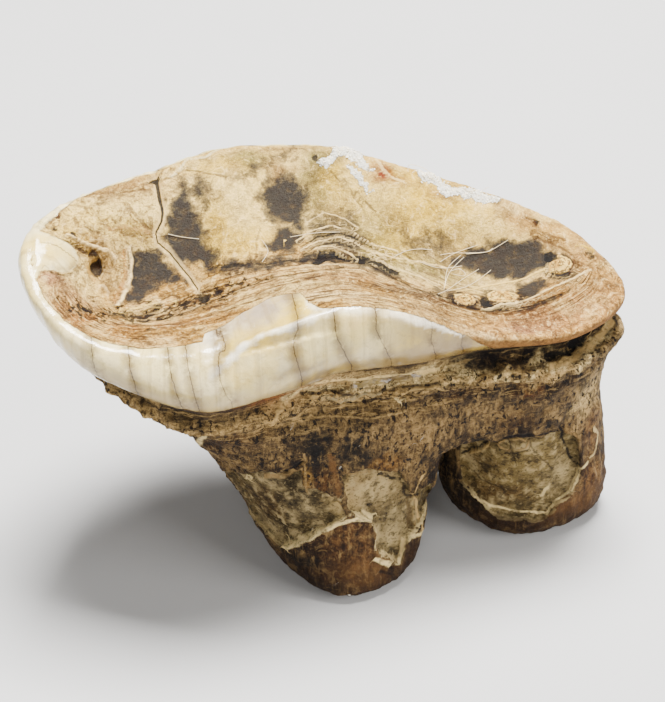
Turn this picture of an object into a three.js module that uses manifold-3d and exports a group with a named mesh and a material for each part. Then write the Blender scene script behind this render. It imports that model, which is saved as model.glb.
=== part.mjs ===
// Fossil cave bear molar: a heavily worn upper cheek tooth, one piece of enamel, dentine and cementum.
// Millimetres. X runs along the crown, from its tall front end at -X to its low heel at +X.
// Y runs from the side with the broad enamel band at -Y to the far side. Z is up, and Z = 0 is the
// surface that the tooth stands on, on the blunt broken ends of its three roots.
import * as THREE from "three";
import { mergeVertices } from "three/addons/utils/BufferGeometryUtils.js";
import Module from "manifold-3d";

const wasm = await Module();
wasm.setup();

const around = 104; // samples round the crown
const rootAround = 36; // samples round each root
const rootSteps = 14; // levels up each root
const enamelThickness = 1.3;
const ledgeDrop = 1.9; // how far the cementum ledge lies under the enamel's lower edge
const ledgeThickness = 1.0;
const roofHeight = 11.4; // underside of the trunk, between the roots
const cementumThickness = 0.5; // the outer layer that has flaked off the roots in patches
const crackOpening = 0.5; // width of the drying crack where it meets the far rim
const crackDepth = 1.1;

// Crown outline, anticlockwise from the heel at +X. crest is the worn rim. lean and edge place the
// enamel's lower edge: how far outside the crest, and how high. swell is the enamel's bulge between
// them, crevice how deep the groove under it is cut, and ledge how far outside the crest the
// cementum ledge below it stands. foot is where the trunk ends and the roots take over.
const stations = [
  { crest: [22.1, -2.0, 20.3], lean: -0.4, edge: 18.6, swell: 0.3, crevice: 0.9, ledge: 0.0, foot: [20.8, -0.6, 9.5] },
  { crest: [19.2, 3.3, 21.7], lean: 0.6, edge: 18.8, swell: 0.4, crevice: 0.5, ledge: 0.4, foot: [18.8, 3.4, 9.5] },
  { crest: [13.7, 5.9, 23.5], lean: 1.2, edge: 19.0, swell: 0.6, crevice: 0.4, ledge: 1.0, foot: [13.8, 5.4, 9.5] },
  { crest: [7.5, 7.6, 25.2], lean: 1.5, edge: 19.0, swell: 0.8, crevice: 0.4, ledge: 1.4, foot: [8.0, 7.8, 9.6] },
  { crest: [1.5, 9.2, 26.5], lean: 1.5, edge: 19.0, swell: 0.9, crevice: 0.4, ledge: 1.3, foot: [2.0, 8.8, 9.8] },
  { crest: [-5.5, 9.9, 26.5], lean: 1.2, edge: 19.0, swell: 0.9, crevice: 0.4, ledge: 1.0, foot: [-3.6, 8.4, 10.2] },
  { crest: [-11.5, 8.4, 25.9], lean: 1.3, edge: 19.2, swell: 0.8, crevice: 0.4, ledge: 1.0, foot: [-7.6, 6.4, 10.8] },
  { crest: [-17.2, 5.4, 25.7], lean: 0.6, edge: 19.8, swell: 0.6, crevice: 0.4, ledge: 0.0, foot: [-9.2, 3.4, 11.2] },
  { crest: [-20.9, 0.8, 26.1], lean: -0.5, edge: 20.6, swell: 0.4, crevice: 0.4, ledge: -1.8, foot: [-9.8, 0.4, 11.5] },
  { crest: [-20.8, -3.6, 24.8], lean: -1.5, edge: 20.5, swell: 0.3, crevice: 0.3, ledge: -3.0, foot: [-9.8, -2.6, 11.6] },
  { crest: [-18.2, -6.8, 23.1], lean: -0.6, edge: 20.1, swell: 0.3, crevice: 0.3, ledge: -2.6, foot: [-9.3, -5.0, 11.4] },
  { crest: [-14.0, -8.2, 22.0], lean: 0.9, edge: 19.3, swell: 0.6, crevice: 0.4, ledge: -0.3, foot: [-8.0, -7.2, 11.0] },
  { crest: [-9.0, -8.8, 22.3], lean: 2.1, edge: 18.5, swell: 0.8, crevice: 0.6, ledge: 1.9, foot: [-5.2, -8.6, 10.6] },
  { crest: [-4.2, -8.8, 23.6], lean: 1.1, edge: 18.8, swell: 0.8, crevice: 0.4, ledge: 0.9, foot: [-1.5, -9.2, 10.2] },
  { crest: [0.8, -8.0, 24.5], lean: 0.1, edge: 19.0, swell: 0.7, crevice: 0.3, ledge: 0.3, foot: [2.6, -9.1, 9.9] },
  { crest: [6.0, -7.6, 23.3], lean: -0.3, edge: 18.8, swell: 0.6, crevice: 0.4, ledge: 0.3, foot: [6.4, -7.9, 9.9] },
  { crest: [11.4, -6.8, 20.4], lean: -0.7, edge: 18.7, swell: 0.3, crevice: 0.9, ledge: 0.3, foot: [11.0, -5.9, 9.7] },
  { crest: [17.8, -5.7, 19.4], lean: -0.7, edge: 18.2, swell: 0.2, crevice: 1.2, ledge: 0.4, foot: [17.2, -4.9, 9.3] },
];

// The chewing surface: a tilted plane with two worn basins and a low ridge between them.
const chewing = { height: 23.6, fallToHeel: 0.07, riseToFarSide: 0.12 };
const wear = [
  { x: -12.5, y: -1.5, rx: 7.0, ry: 4.6, depth: 3.6 },
  { x: 13.0, y: -0.6, rx: 7.0, ry: 3.4, depth: 2.6 },
  { x: 0.5, y: 0.2, rx: 5.0, ry: 1.6, depth: 0.5 },
  { x: -0.5, y: -4.6, rx: 4.5, ry: 3.0, depth: -0.7 },
];

// Roots, from the tip up: centre and half widths of each level section.
const roots = {
  front: [
    { z: 0, at: [1.6, -7.2], half: [3.6, 3.3] },
    { z: 0.9, at: [1.5, -6.9], half: [4.9, 4.4] },
    { z: 3.2, at: [1.0, -5.8], half: [6.1, 4.9] },
    { z: 6.8, at: [0.6, -4.7], half: [7.4, 5.2] },
    { z: 10.2, at: [0.0, -4.1], half: [8.8, 5.2] },
    { z: 13.5, at: [0.0, -3.6], half: [8.8, 5.0] },
  ],
  heel: [
    { z: 0, at: [15.6, -1.5], half: [4.2, 3.6] },
    { z: 0.8, at: [15.6, -1.3], half: [5.7, 4.7] },
    { z: 2.8, at: [15.4, -1.0], half: [6.3, 5.0] },
    { z: 6.0, at: [15.3, -0.6], half: [6.2, 5.0] },
    { z: 9.5, at: [15.3, -0.5], half: [5.7, 5.0] },
    { z: 13.0, at: [15.0, -0.4], half: [5.3, 4.8] },
  ],
  far: [
    { z: 0, at: [0.4, 5.6], half: [3.0, 1.9] },
    { z: 0.9, at: [0.5, 5.3], half: [4.4, 3.0] },
    { z: 3.5, at: [0.8, 4.9], half: [5.6, 3.7] },
    { z: 7.0, at: [1.2, 4.4], half: [6.6, 4.2] },
    { z: 10.0, at: [1.5, 4.1], half: [7.4, 4.5] },
    { z: 13.0, at: [1.8, 4.0], half: [7.4, 4.4] },
  ],
};

// Outlines, seen from the near side (X, Z), of the patches where the cementum has flaked off.
const flakes = [
  {
    root: "front",
    outline: [[-7.6, 8.6], [-5.0, 10.8], [-2.3, 11.2], [-2.0, 9.8], [0.2, 8.9], [0.9, 7.3], [-2.4, 4.9], [-3.8, 3.7], [-5.2, 4.2], [-7.6, 4.6]],
  },
  {
    root: "front",
    outline: [[0.6, 10.4], [2.4, 10.8], [5.0, 9.6], [5.9, 7.4], [7.8, 6.9], [7.6, 4.4], [5.6, 3.7], [5.0, 2.0], [3.4, 3.6], [2.9, 6.3], [1.2, 7.4]],
  },
  {
    root: "heel",
    outline: [[10.2, 7.4], [12.7, 9.7], [17.3, 9.6], [18.8, 8.4], [19.2, 5.2], [18.5, 3.7], [17.3, 3.0], [16.4, 2.0], [13.0, 2.3], [10.4, 4.4]],
  },
];

// Marks in the chewing surface. The crack's points lie on the surface, from the far rim inwards.
// A pit or a chip is an ellipsoid cut out, and a bead of secondary dentine is one left standing.
const crack = [[-11.1, 9.9, 25.6], [-11.2, 6.2, 25.6], [-10.8, 4.5, 24.8], [-11.5, 3.2, 23.8], [-10.2, 1.7, 22.6], [-8.8, -0.4, 21.5]];
const pits = [
  { at: [-15.8, 0.6, 23.2], half: [0.5, 0.9, 0.8] },
  { at: [-18.4, 2.9, 26.1], half: [0.4, 0.4, 0.4] },
  { at: [0.5, 8.0, 26.5], half: [0.4, 0.4, 0.5] },
];
const chips = [
  { at: [-20.1, 2.2, 27.0], half: [0.8, 1.1, 1.1] },
  { at: [4.9, 9.1, 26.6], half: [1.7, 0.9, 0.9] },
  { at: [10.2, 7.6, 25.3], half: [2.1, 1.0, 1.1] },
  { at: [13.0, 6.7, 24.5], half: [1.3, 0.9, 0.9] },
];
const beads = [
  { at: [10.7, -2.7, 20.8], half: [0.8, 0.5, 0.4] },
  { at: [12.9, -2.2, 20.3], half: [0.9, 0.6, 0.4] },
  { at: [17.8, 0.3, 20.8], half: [0.8, 0.6, 0.4] },
];

const lerp = THREE.MathUtils.lerp;
const smooth = (t) => THREE.MathUtils.smoothstep(t, 0, 1);

// A closed smooth curve through one value of each station, sampled all the way round.
function sampledRound(pick) {
  const points = stations.map((s) => new THREE.Vector3(...pick(s)));
  const curve = new THREE.CatmullRomCurve3(points, true, "catmullrom", 0.5);
  return Array.from({ length: around }, (_, j) => curve.getPoint(j / around));
}

// Skins a stack of rings, from the lowest up, each anticlockwise from above. A ring may be collapsed
// to a point, or in pairs to a line, which closes the skin.
function skin(rings) {
  const count = rings[0].length;
  const positions = [];
  const push = (...corners) => corners.forEach((p) => positions.push(p.x, p.y, p.z));
  for (let i = 0; i + 1 < rings.length; i++) {
    for (let j = 0; j < count; j++) {
      const k = (j + 1) % count;
      push(rings[i][j], rings[i][k], rings[i + 1][k]);
      push(rings[i][j], rings[i + 1][k], rings[i + 1][j]);
    }
  }
  return new THREE.BufferGeometry().setAttribute("position", new THREE.Float32BufferAttribute(positions, 3));
}

// A closed geometry as a solid that can be joined and cut.
function solidOf(geometry) {
  const flat = geometry.index ? geometry.toNonIndexed() : geometry.clone();
  flat.deleteAttribute("normal");
  flat.deleteAttribute("uv");
  const merged = mergeVertices(flat, 1e-3);
  const corners = merged.index.array;
  const kept = [];
  for (let i = 0; i < corners.length; i += 3) {
    const [a, b, c] = corners.slice(i, i + 3);
    if (a !== b && b !== c && c !== a) kept.push(a, b, c);
  }
  const vertProperties = merged.attributes.position.array;
  return new wasm.Manifold(new wasm.Mesh({ numProp: 3, vertProperties, triVerts: new Uint32Array(kept) }));
}

function chewingHeight(x, y) {
  const plane = chewing.height - chewing.fallToHeel * x + chewing.riseToFarSide * y;
  return wear.reduce((z, w) => z - w.depth * Math.exp(-(((x - w.x) / w.rx) ** 2) - ((y - w.y) / w.ry) ** 2), plane);
}

// Crown and trunk: one meridian at each sample round the crest, from the middle of the underside,
// up over the trunk, ledge, crevice, enamel and crest, and in over the chewing surface.
function crownAndTrunk() {
  const crest = sampledRound((s) => s.crest);
  const foot = sampledRound((s) => s.foot);
  const enamel = sampledRound((s) => [s.lean, s.edge, s.swell]);
  const neck = sampledRound((s) => [s.ledge, s.crevice, 0]);
  const meridians = crest.map((p, j) => {
    const ahead = crest[(j + 1) % around];
    const behind = crest[(j + around - 1) % around];
    const outward = new THREE.Vector3(ahead.y - behind.y, behind.x - ahead.x, 0).normalize();
    const opposite = crest[(around - j) % around];
    const middle = new THREE.Vector3(0.62 * (p.x + opposite.x) / 2, 0.3 * (p.y + opposite.y) / 2, 0);
    const { x: lean, y: edge, z: swell } = enamel[j];
    const { x: ledge, y: crevice } = neck[j];
    const at = (out, z) => new THREE.Vector3(p.x + outward.x * out, p.y + outward.y * out, z);

    const underMiddle = new THREE.Vector3(middle.x * 0.5 + 5, middle.y, roofHeight);
    const ledgeTop = at(ledge, edge - ledgeDrop);
    const waist = foot[j].clone().lerp(ledgeTop, 0.4).setZ(lerp(foot[j].z, ledgeTop.z, 0.58));
    const path = [
      underMiddle,
      underMiddle.clone().lerp(foot[j], 0.6),
      foot[j],
      waist,
      at(ledge - ledgeThickness / 2, ledgeTop.z - ledgeThickness),
      ledgeTop,
      at(Math.min(lean, ledge) - crevice, lerp(edge, ledgeTop.z, 0.4)),
      at(lean, edge),
      at(lean * 0.75 + swell, lerp(edge, p.z, 0.3)),
      at(lean * 0.4 + swell, lerp(edge, p.z, 0.62)),
      at(lean * 0.1 + swell * 0.45, lerp(edge, p.z, 0.88)),
      p,
      at(-enamelThickness / 2, p.z + 0.05),
      at(-enamelThickness, p.z - 0.15),
    ];
    const inner = path.at(-1);
    for (const t of [0.14, 0.3, 0.46, 0.62, 0.8, 1]) {
      const q = inner.clone().lerp(middle, t);
      path.push(q.setZ(lerp(inner.z, chewingHeight(q.x, q.y), smooth(t / 0.55))));
    }
    return path;
  });
  const rings = meridians[0].map((_, i) => meridians.map((path) => path[i]));
  return solidOf(skin(rings));
}

// A root, or the dentine under its cementum when inset is given.
function rootSolid(sections, inset = 0) {
  const keys = sections.map((s) => new THREE.Vector3(s.at[0], s.at[1], s.z));
  const widths = sections.map((s) => new THREE.Vector3(s.half[0], s.half[1], s.z));
  const path = new THREE.CatmullRomCurve3(keys, false, "centripetal");
  const size = new THREE.CatmullRomCurve3(widths, false, "centripetal");
  const level = (t) => {
    const centre = path.getPoint(t);
    const half = size.getPoint(t);
    return Array.from({ length: rootAround }, (_, j) => {
      const a = (2 * Math.PI * j) / rootAround;
      const lobe = 1 + 0.03 * Math.cos(4 * a + 1);
      return new THREE.Vector3(
        centre.x + (half.x - inset) * lobe * Math.cos(a),
        centre.y + (half.y - inset) * lobe * Math.sin(a),
        centre.z,
      );
    });
  };
  const rings = Array.from({ length: rootSteps + 1 }, (_, i) => level(i / rootSteps));
  const cap = (centre) => Array.from({ length: rootAround }, () => centre);
  return solidOf(skin([cap(keys[0]), ...rings, cap(keys.at(-1))]));
}

// What flaked off a root: its outer layer, inside an outline on the near side.
function flake({ root, outline }) {
  const shape = new THREE.Shape(outline.map(([x, z]) => new THREE.Vector2(x, z)));
  const reach = 12;
  const prism = new THREE.ExtrudeGeometry(shape, { depth: reach, bevelEnabled: false }).rotateX(Math.PI / 2);
  const nearHalf = solidOf(prism.translate(0, roots[root][2].at[1], 0));
  return nearHalf.subtract(rootSolid(roots[root], cementumThickness));
}

// The open crack: a wedge that narrows and gets shallower from the far rim to its inner end.
function crackSolid() {
  const points = crack.map((p) => new THREE.Vector3(...p));
  const proud = 0.6; // how far the cut stands above the surface
  const sections = points.map((p, i) => {
    const along = points[Math.min(i + 1, points.length - 1)].clone().sub(points[Math.max(i - 1, 0)]);
    const side = new THREE.Vector3(-along.y, along.x, 0).normalize();
    const left = 1 - (0.8 * i) / (points.length - 1);
    const half = (left * crackOpening * (crackDepth * left + proud)) / (2 * crackDepth * left);
    const top = p.clone().setZ(p.z + proud);
    const bottom = p.clone().setZ(p.z - crackDepth * left);
    return [top.clone().addScaledVector(side, half), top.clone().addScaledVector(side, -half), bottom];
  });
  const closed = (p) => [p, p, p];
  return solidOf(skin([closed(points[0]), ...sections, closed(points.at(-1))]));
}

function ellipsoid({ at, half }) {
  return solidOf(new THREE.IcosahedronGeometry(1, 2).scale(...half).translate(...at));
}

function molarGeometry() {
  let tooth = crownAndTrunk();
  for (const sections of Object.values(roots)) tooth = tooth.add(rootSolid(sections));
  for (const patch of flakes) tooth = tooth.subtract(flake(patch));
  for (const bead of beads) tooth = tooth.add(ellipsoid(bead));
  for (const hole of [...pits, ...chips]) tooth = tooth.subtract(ellipsoid(hole));
  tooth = tooth.subtract(crackSolid());
  const mesh = tooth.getMesh();
  return new THREE.BufferGeometry()
    .setAttribute("position", new THREE.BufferAttribute(mesh.vertProperties, mesh.numProp))
    .setIndex(new THREE.BufferAttribute(mesh.triVerts, 1));
}

// The origin is under the middle of the tooth's box.
function centred(geometry) {
  geometry.computeBoundingBox();
  const middle = geometry.boundingBox.getCenter(new THREE.Vector3());
  return geometry.translate(-middle.x, -middle.y, -geometry.boundingBox.min.z);
}

const toothMaterial = new THREE.MeshStandardMaterial({ color: 0xb89c74, roughness: 0.55, metalness: 0 });
const molar = new THREE.Mesh(centred(molarGeometry()), toothMaterial);
molar.name = "molar";

const specimen = new THREE.Group();
specimen.add(molar);

export default specimen;
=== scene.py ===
import math
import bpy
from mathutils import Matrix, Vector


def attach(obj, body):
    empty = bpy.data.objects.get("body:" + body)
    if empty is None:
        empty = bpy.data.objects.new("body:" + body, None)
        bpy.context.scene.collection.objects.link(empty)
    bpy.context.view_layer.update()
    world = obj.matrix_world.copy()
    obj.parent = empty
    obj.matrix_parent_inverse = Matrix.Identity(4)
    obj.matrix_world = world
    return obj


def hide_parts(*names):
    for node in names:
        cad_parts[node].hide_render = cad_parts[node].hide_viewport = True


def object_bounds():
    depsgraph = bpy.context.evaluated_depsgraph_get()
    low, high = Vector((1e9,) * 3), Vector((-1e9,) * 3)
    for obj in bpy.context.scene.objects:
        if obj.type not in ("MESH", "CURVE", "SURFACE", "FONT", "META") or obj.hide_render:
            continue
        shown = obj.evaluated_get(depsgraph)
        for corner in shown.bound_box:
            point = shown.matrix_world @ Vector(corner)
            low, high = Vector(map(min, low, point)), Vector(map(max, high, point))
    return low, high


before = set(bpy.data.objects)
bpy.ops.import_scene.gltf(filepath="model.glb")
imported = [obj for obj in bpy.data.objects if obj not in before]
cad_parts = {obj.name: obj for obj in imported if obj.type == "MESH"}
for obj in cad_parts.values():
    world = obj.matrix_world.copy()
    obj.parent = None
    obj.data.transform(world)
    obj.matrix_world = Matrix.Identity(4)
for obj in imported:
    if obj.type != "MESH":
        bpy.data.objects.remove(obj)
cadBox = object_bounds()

from types import SimpleNamespace

import bmesh
import bpy
import numpy as np
from mathutils import Vector, noise
from mathutils.bvhtree import BVHTree
from mathutils.kdtree import KDTree

mm = 0.001  # Blender's places are in metres, and the fields below in millimetres
print("fossil molar: frame loaded")


# Colours, as a person would mix them

palette = {
    "tan": "#cfae74",
    "orangeTan": "#b58a55",
    "pink": "#c9a286",
    "pinkBrown": "#a98c6a",
    "mauve": "#b08a86",
    "pale": "#fae3bc",
    "cream": "#f6e0ae",
    "yellow": "#e0c55c",
    "greenGrey": "#8f906a",
    "stain": "#4c4c58",
    "stainBrown": "#5b4529",
    "brown": "#705534",
    "enamel": "#f1e6cc",
    "enamelBright": "#fffaf0",
    "enamelSilver": "#bcb2b0",
    "enamelWarm": "#efe0b4",
    "enamelGrey": "#ab9c86",
    "enamelDark": "#7c6a4c",
    "enamelYellow": "#e7d07c",
    "cementum": "#4c3d28",
    "rootTan": "#b9a58d",
    "darkBrown": "#332414",
    "greyBrown": "#6a5a46",
    "ledgeGrey": "#ab9a84",
    "ledgeRust": "#9c6a3c",
    "ledge": "#dac3a2",
    "olive": "#7d7466",
    "oliveDark": "#4a443b",
    "oliveYellow": "#cbbda6",
    "cap": "#55412e",
    "capLight": "#967b66",
    "brokenEdge": "#f4e2c0",
    "beadPale": "#f0d6a0",
    "chalk": "#f4f1ea",
    "greyWhite": "#b9b3a6",
    "rust": "#8c3a20",
    "orange": "#a8793c",
    "heelRoot": "#a3967e",
    "black": "#20160d",
}
# The soft picture tones lift colours, so each channel is raised to a power that sets it deeper
colourDepth = np.array([1.5, 1.6, 1.95])


def linear(name):  # a palette colour as linear RGB
    code = palette[name].lstrip("#")
    parts = np.array([int(code[i:i + 2], 16) / 255 for i in (0, 2, 4)])
    return np.where(parts <= 0.04045, parts / 12.92, ((parts + 0.055) / 1.055) ** 2.4) ** colourDepth


# Camera, and rays through places in the picture

picture = {"width": 665, "height": 702}
cameraView = {"azimuth": -6, "elevation": 38, "lens": 135, "sensor": 36, "distance": 191.5,
              "target": (0.321, -1.835, 16.0)}


def cameraAxes():
    a, e = math.radians(cameraView["azimuth"]), math.radians(cameraView["elevation"])
    back = np.array([math.sin(a) * math.cos(e), -math.cos(a) * math.cos(e), math.sin(e)])
    right = np.array([math.cos(a), math.sin(a), 0])
    return back, right, np.cross(back, right)


def cameraPlace():
    return np.array(cameraView["target"]) + cameraAxes()[0] * cameraView["distance"]


def makeCamera():
    back = Vector(cameraAxes()[0])
    data = bpy.data.cameras.new("camera")
    data.lens = cameraView["lens"]
    data.clip_start, data.clip_end = 0.01, 5
    camera = bpy.data.objects.new("camera", data)
    bpy.context.scene.collection.objects.link(camera)
    camera.location = Vector(cameraPlace()) * mm
    camera.rotation_mode = "QUATERNION"
    camera.rotation_quaternion = (-back).to_track_quat("-Z", "Y")
    bpy.context.scene.camera = camera


def pixelRay(u, v):
    back, right, up = cameraAxes()
    focal = cameraView["lens"] / cameraView["sensor"] * picture["height"]
    along = -back * focal + right * (u - picture["width"] / 2) - up * (v - picture["height"] / 2)
    return along / np.linalg.norm(along)


makeCamera()


# Small tools for fields over many points

def smoothStep(low, high, value):
    t = np.clip((value - low) / (high - low), 0, 1)
    return t * t * (3 - 2 * t)


def ridge(value, centre, width):  # a soft bump, 1 at the centre
    return np.exp(-((value - centre) / width) ** 2)


def nearerSide(best, side):  # of two signed distances, the one nearer to nought
    return np.where(np.abs(side) < np.abs(best), side, best)


def cubic(a, b, c, d, t):  # from b to c, bent towards its neighbours a and d
    bend = (2 * a - 5 * b + 4 * c - d) * t * t + (3 * b - 3 * c + d - a) * t ** 3
    return 0.5 * (2 * b + (c - a) * t + bend)


def closedSpline(points, samples):  # through the points, all the way round
    points = np.array(points, float)
    t = np.arange(samples) / samples * len(points)
    i = np.floor(t).astype(int)
    a, b, c, d = (points[(i + k) % len(points)] for k in (-1, 0, 1, 2))
    return cubic(a, b, c, d, (t - i)[:, None])


def openSpline(line, steps):  # through the points of an open line
    line = np.array([line[0], *line, line[-1]], float)
    t = np.linspace(0, 1, steps, endpoint=False)[:, None]
    corners = zip(line[:-3], line[1:-2], line[2:-1], line[3:])
    return np.vstack([*(cubic(a, b, c, d, t) for a, b, c, d in corners), line[-1:]])


def stretches(points, line):  # for each stretch of a line: share along it, distance, side (1 on its left)
    line = np.array(line, float)
    for a, b in zip(line[:-1], line[1:]):
        along = b - a
        share = (points - a) @ along / max(along @ along, 1e-9)
        gap = points - a - np.clip(share, 0, 1)[:, None] * along
        side = np.where(along[0] * gap[:, 1] < along[1] * gap[:, 0], -1.0, 1.0)
        yield share, np.linalg.norm(gap, axis=1), side


def lineDistance(points, line):
    return np.min([distance for _, distance, _ in stretches(points, line)], axis=0)


def sideOfLine(points, line):  # signed distance, positive on the left of the line
    best = np.full(len(points), 1e9)
    for _, distance, side in stretches(points, line):
        best = nearerSide(best, distance * side)
    return best


def lineSigned(points, line, beyond=9.0):  # the same, but no less than this beyond the line's ends
    best = np.full(len(points), beyond)
    last = len(line) - 2
    for i, (share, distance, side) in enumerate(stretches(points, line)):
        past = (i == 0) & (share < 0) | (i == last) & (share > 1)
        best = nearerSide(best, side * np.where(past, np.maximum(distance, beyond), distance))
    return best


def insideDistance(points, outline):  # positive inside a flat outline, negative outside
    closed = np.array([*outline, outline[0]], float)
    inside = np.zeros(len(points), bool)
    for a, b in zip(closed[:-1], closed[1:]):
        crosses = (a[1] > points[:, 1]) != (b[1] > points[:, 1])
        slope = (b[0] - a[0]) / (b[1] - a[1]) if b[1] != a[1] else 0
        inside ^= crosses & (points[:, 0] < a[0] + slope * (points[:, 1] - a[1]))
    return np.where(inside, 1, -1) * lineDistance(points, closed)


def cloud(points, size, seed, octaves=3, stretch=(1, 1, 1)):  # smooth noise, about -1 to 1
    seedStep = 17.3
    scaled = points / size * np.array(stretch) + seed * seedStep
    return np.array([noise.fractal(Vector(p), 1.0, 2.0, octaves) for p in scaled])


# The tooth's surface: the solid, remeshed finely and smoothed

surface = {"voxel": 0.225, "smoothing": 14, "pull": 0.6, "stepKeep": 0.135}
shift = np.array([-0.479, -0.185])  # from the crown's own origin to the middle of its box

# Crown outline from the heel, anticlockwise: X, Y, height of the enamel's lower edge, its width on top
crown = [
    (22.1, -2.0, 18.6, 0.0), (19.2, 3.3, 18.8, 0.2), (13.7, 5.9, 19.0, 0.3), (7.5, 7.6, 19.0, 0.25),
    (1.5, 9.2, 19.0, 0.3), (-5.5, 9.9, 19.0, 0.3), (-11.5, 8.4, 19.2, 0.4), (-17.2, 5.4, 19.8, 0.35),
    (-20.9, 0.8, 20.6, 0.9), (-20.8, -3.6, 20.5, 0.9), (-18.2, -6.8, 20.1, 0.9), (-14.0, -8.2, 19.3, 0.8),
    (-9.0, -8.8, 18.5, 1.2), (-4.2, -8.8, 18.8, 2.4), (0.8, -8.0, 19.0, 1.4), (6.0, -7.6, 18.8, 0.5),
    (11.4, -6.8, 18.7, 0.0), (17.8, -5.7, 18.2, 0.0),
]


def meshArrays(mesh):  # places, edges and normals
    points = np.zeros(len(mesh.vertices) * 3)
    mesh.vertices.foreach_get("co", points)
    edges = np.zeros(len(mesh.edges) * 2, int)
    mesh.edges.foreach_get("vertices", edges)
    normals = np.zeros(len(mesh.vertices) * 3)
    mesh.vertices.foreach_get("normal", normals)
    return points.reshape(-1, 3), edges.reshape(-1, 2), normals.reshape(-1, 3)


def setPlaces(mesh, points):
    mesh.vertices.foreach_set("co", points.ravel())
    mesh.update()


def toothBase():  # the CAD node's copy, in millimetres, merged, remeshed
    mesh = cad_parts["molar"].data.copy()
    work = bmesh.new()
    work.from_mesh(mesh)
    bmesh.ops.remove_doubles(work, verts=work.verts, dist=1e-7)
    bmesh.ops.scale(work, vec=(1 / mm, 1 / mm, 1 / mm), verts=work.verts)
    work.to_mesh(mesh)
    work.free()
    mesh.materials.clear()
    tooth = bpy.data.objects.new("tooth-surface", mesh)
    bpy.context.scene.collection.objects.link(tooth)
    remesh = tooth.modifiers.new("remesh", "REMESH")
    remesh.mode = "VOXEL"
    remesh.voxel_size = surface["voxel"]
    evaluated = tooth.evaluated_get(bpy.context.evaluated_depsgraph_get())
    fine = bpy.data.meshes.new_from_object(evaluated)
    tooth.modifiers.clear()
    tooth.data = fine
    for attribute in [a for a in fine.attributes if not a.is_required and not a.is_internal]:
        if attribute.name not in ("position", "sharp_face"):
            fine.attributes.remove(attribute)
    return tooth


def smoothed(points, edges, share, rounds):
    count = np.bincount(edges.ravel(), minlength=len(points))[:, None]
    for _ in range(rounds):
        total = np.zeros_like(points)
        for axis in range(3):
            for here, there in (edges.T, edges.T[::-1]):
                total[:, axis] += np.bincount(here, points[there, axis], len(points))
        points = points + (total / count - points) * surface["pull"] * share[:, None]
    return points


# Patches where the cementum has flaked off, seen from the near side (X, Z), as the solid has them,
# and how near (Y) a point has to lie to belong to one
flakes = [
    {"outline": [(-7.6, 8.6), (-5.0, 10.8), (-2.3, 11.2), (-2.0, 9.8), (0.2, 8.9), (0.9, 7.3), (-2.4, 4.9),
                 (-3.8, 3.7), (-5.2, 4.2), (-7.6, 4.6)], "nearer": -4.9},
    {"outline": [(0.6, 10.4), (2.4, 10.8), (5.0, 9.6), (5.9, 7.4), (7.8, 6.9), (7.6, 4.4), (5.6, 3.7),
                 (5.0, 2.0), (3.4, 3.6), (2.9, 6.3), (1.2, 7.4)], "nearer": -4.9},
    {"outline": [(10.2, 7.4), (12.7, 9.7), (17.3, 9.6), (18.8, 8.4), (19.2, 5.2), (18.5, 3.7), (17.3, 3.0),
                 (16.4, 2.0), (13.0, 2.3), (10.4, 4.4)], "nearer": -0.5},
]


def exposedField(points):  # positive where the cementum is gone
    field = np.full(len(points), -5.0)
    for flake in flakes:
        outline = np.array(flake["outline"]) + (shift[0], 0)
        inside = insideDistance(points[:, [0, 2]], outline)
        field = np.maximum(field, np.minimum(inside, flake["nearer"] - points[:, 1]))
    return field


tooth = toothBase()
points, edges, _ = meshArrays(tooth.data)
print("fossil molar: remeshed,", len(points), "points")
keepSteps = smoothStep(0.25, 0.9, np.abs(exposedField(points)))
share = surface["stepKeep"] + (1 - surface["stepKeep"]) * keepSteps
setPlaces(tooth.data, smoothed(points, edges, share, surface["smoothing"]))
points, _, normals = meshArrays(tooth.data)
x, y, z = points.T
plan, flank = points[:, :2], points[:, [0, 2]]  # seen from above, and from the near side
faces = [tuple(p.vertices) for p in tooth.data.polygons]
tree = BVHTree.FromPolygons([Vector(p) for p in points], faces)
exposed = exposedField(points)


def onTooth(u, v):  # the place on the tooth that the picture shows at a pixel
    origin, along = Vector(cameraPlace()), Vector(pixelRay(u, v))
    hit = tree.ray_cast(origin, along)[0]
    if hit is None:
        hit = tree.find_nearest(origin + along * cameraView["distance"])[0]
    return np.array(hit)


def onPlan(pixels):  # their places seen from above (X, Y)
    return np.array([onTooth(u, v)[[0, 1]] for u, v in pixels])


def onFlank(pixels):  # their places seen from the near side (X, Z)
    return np.array([onTooth(u, v)[[0, 2]] for u, v in pixels])


# Marks are tables with one mark a line: places as pixels, half widths as pairs, numbers and colours

def readWord(word):
    if "," in word:
        return tuple(float(part) for part in word.split(","))
    return word if word[0].isalpha() else float(word)


def marks(table):  # a bar parts a mark's line or outline from its values
    rows = []
    for row in table.strip().splitlines():
        places, bar, values = row.partition("|")
        words = [readWord(word) for word in places.split()]
        rows.append((words, *(readWord(word) for word in values.split())) if bar else words)
    return rows


# Crown fields

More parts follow.
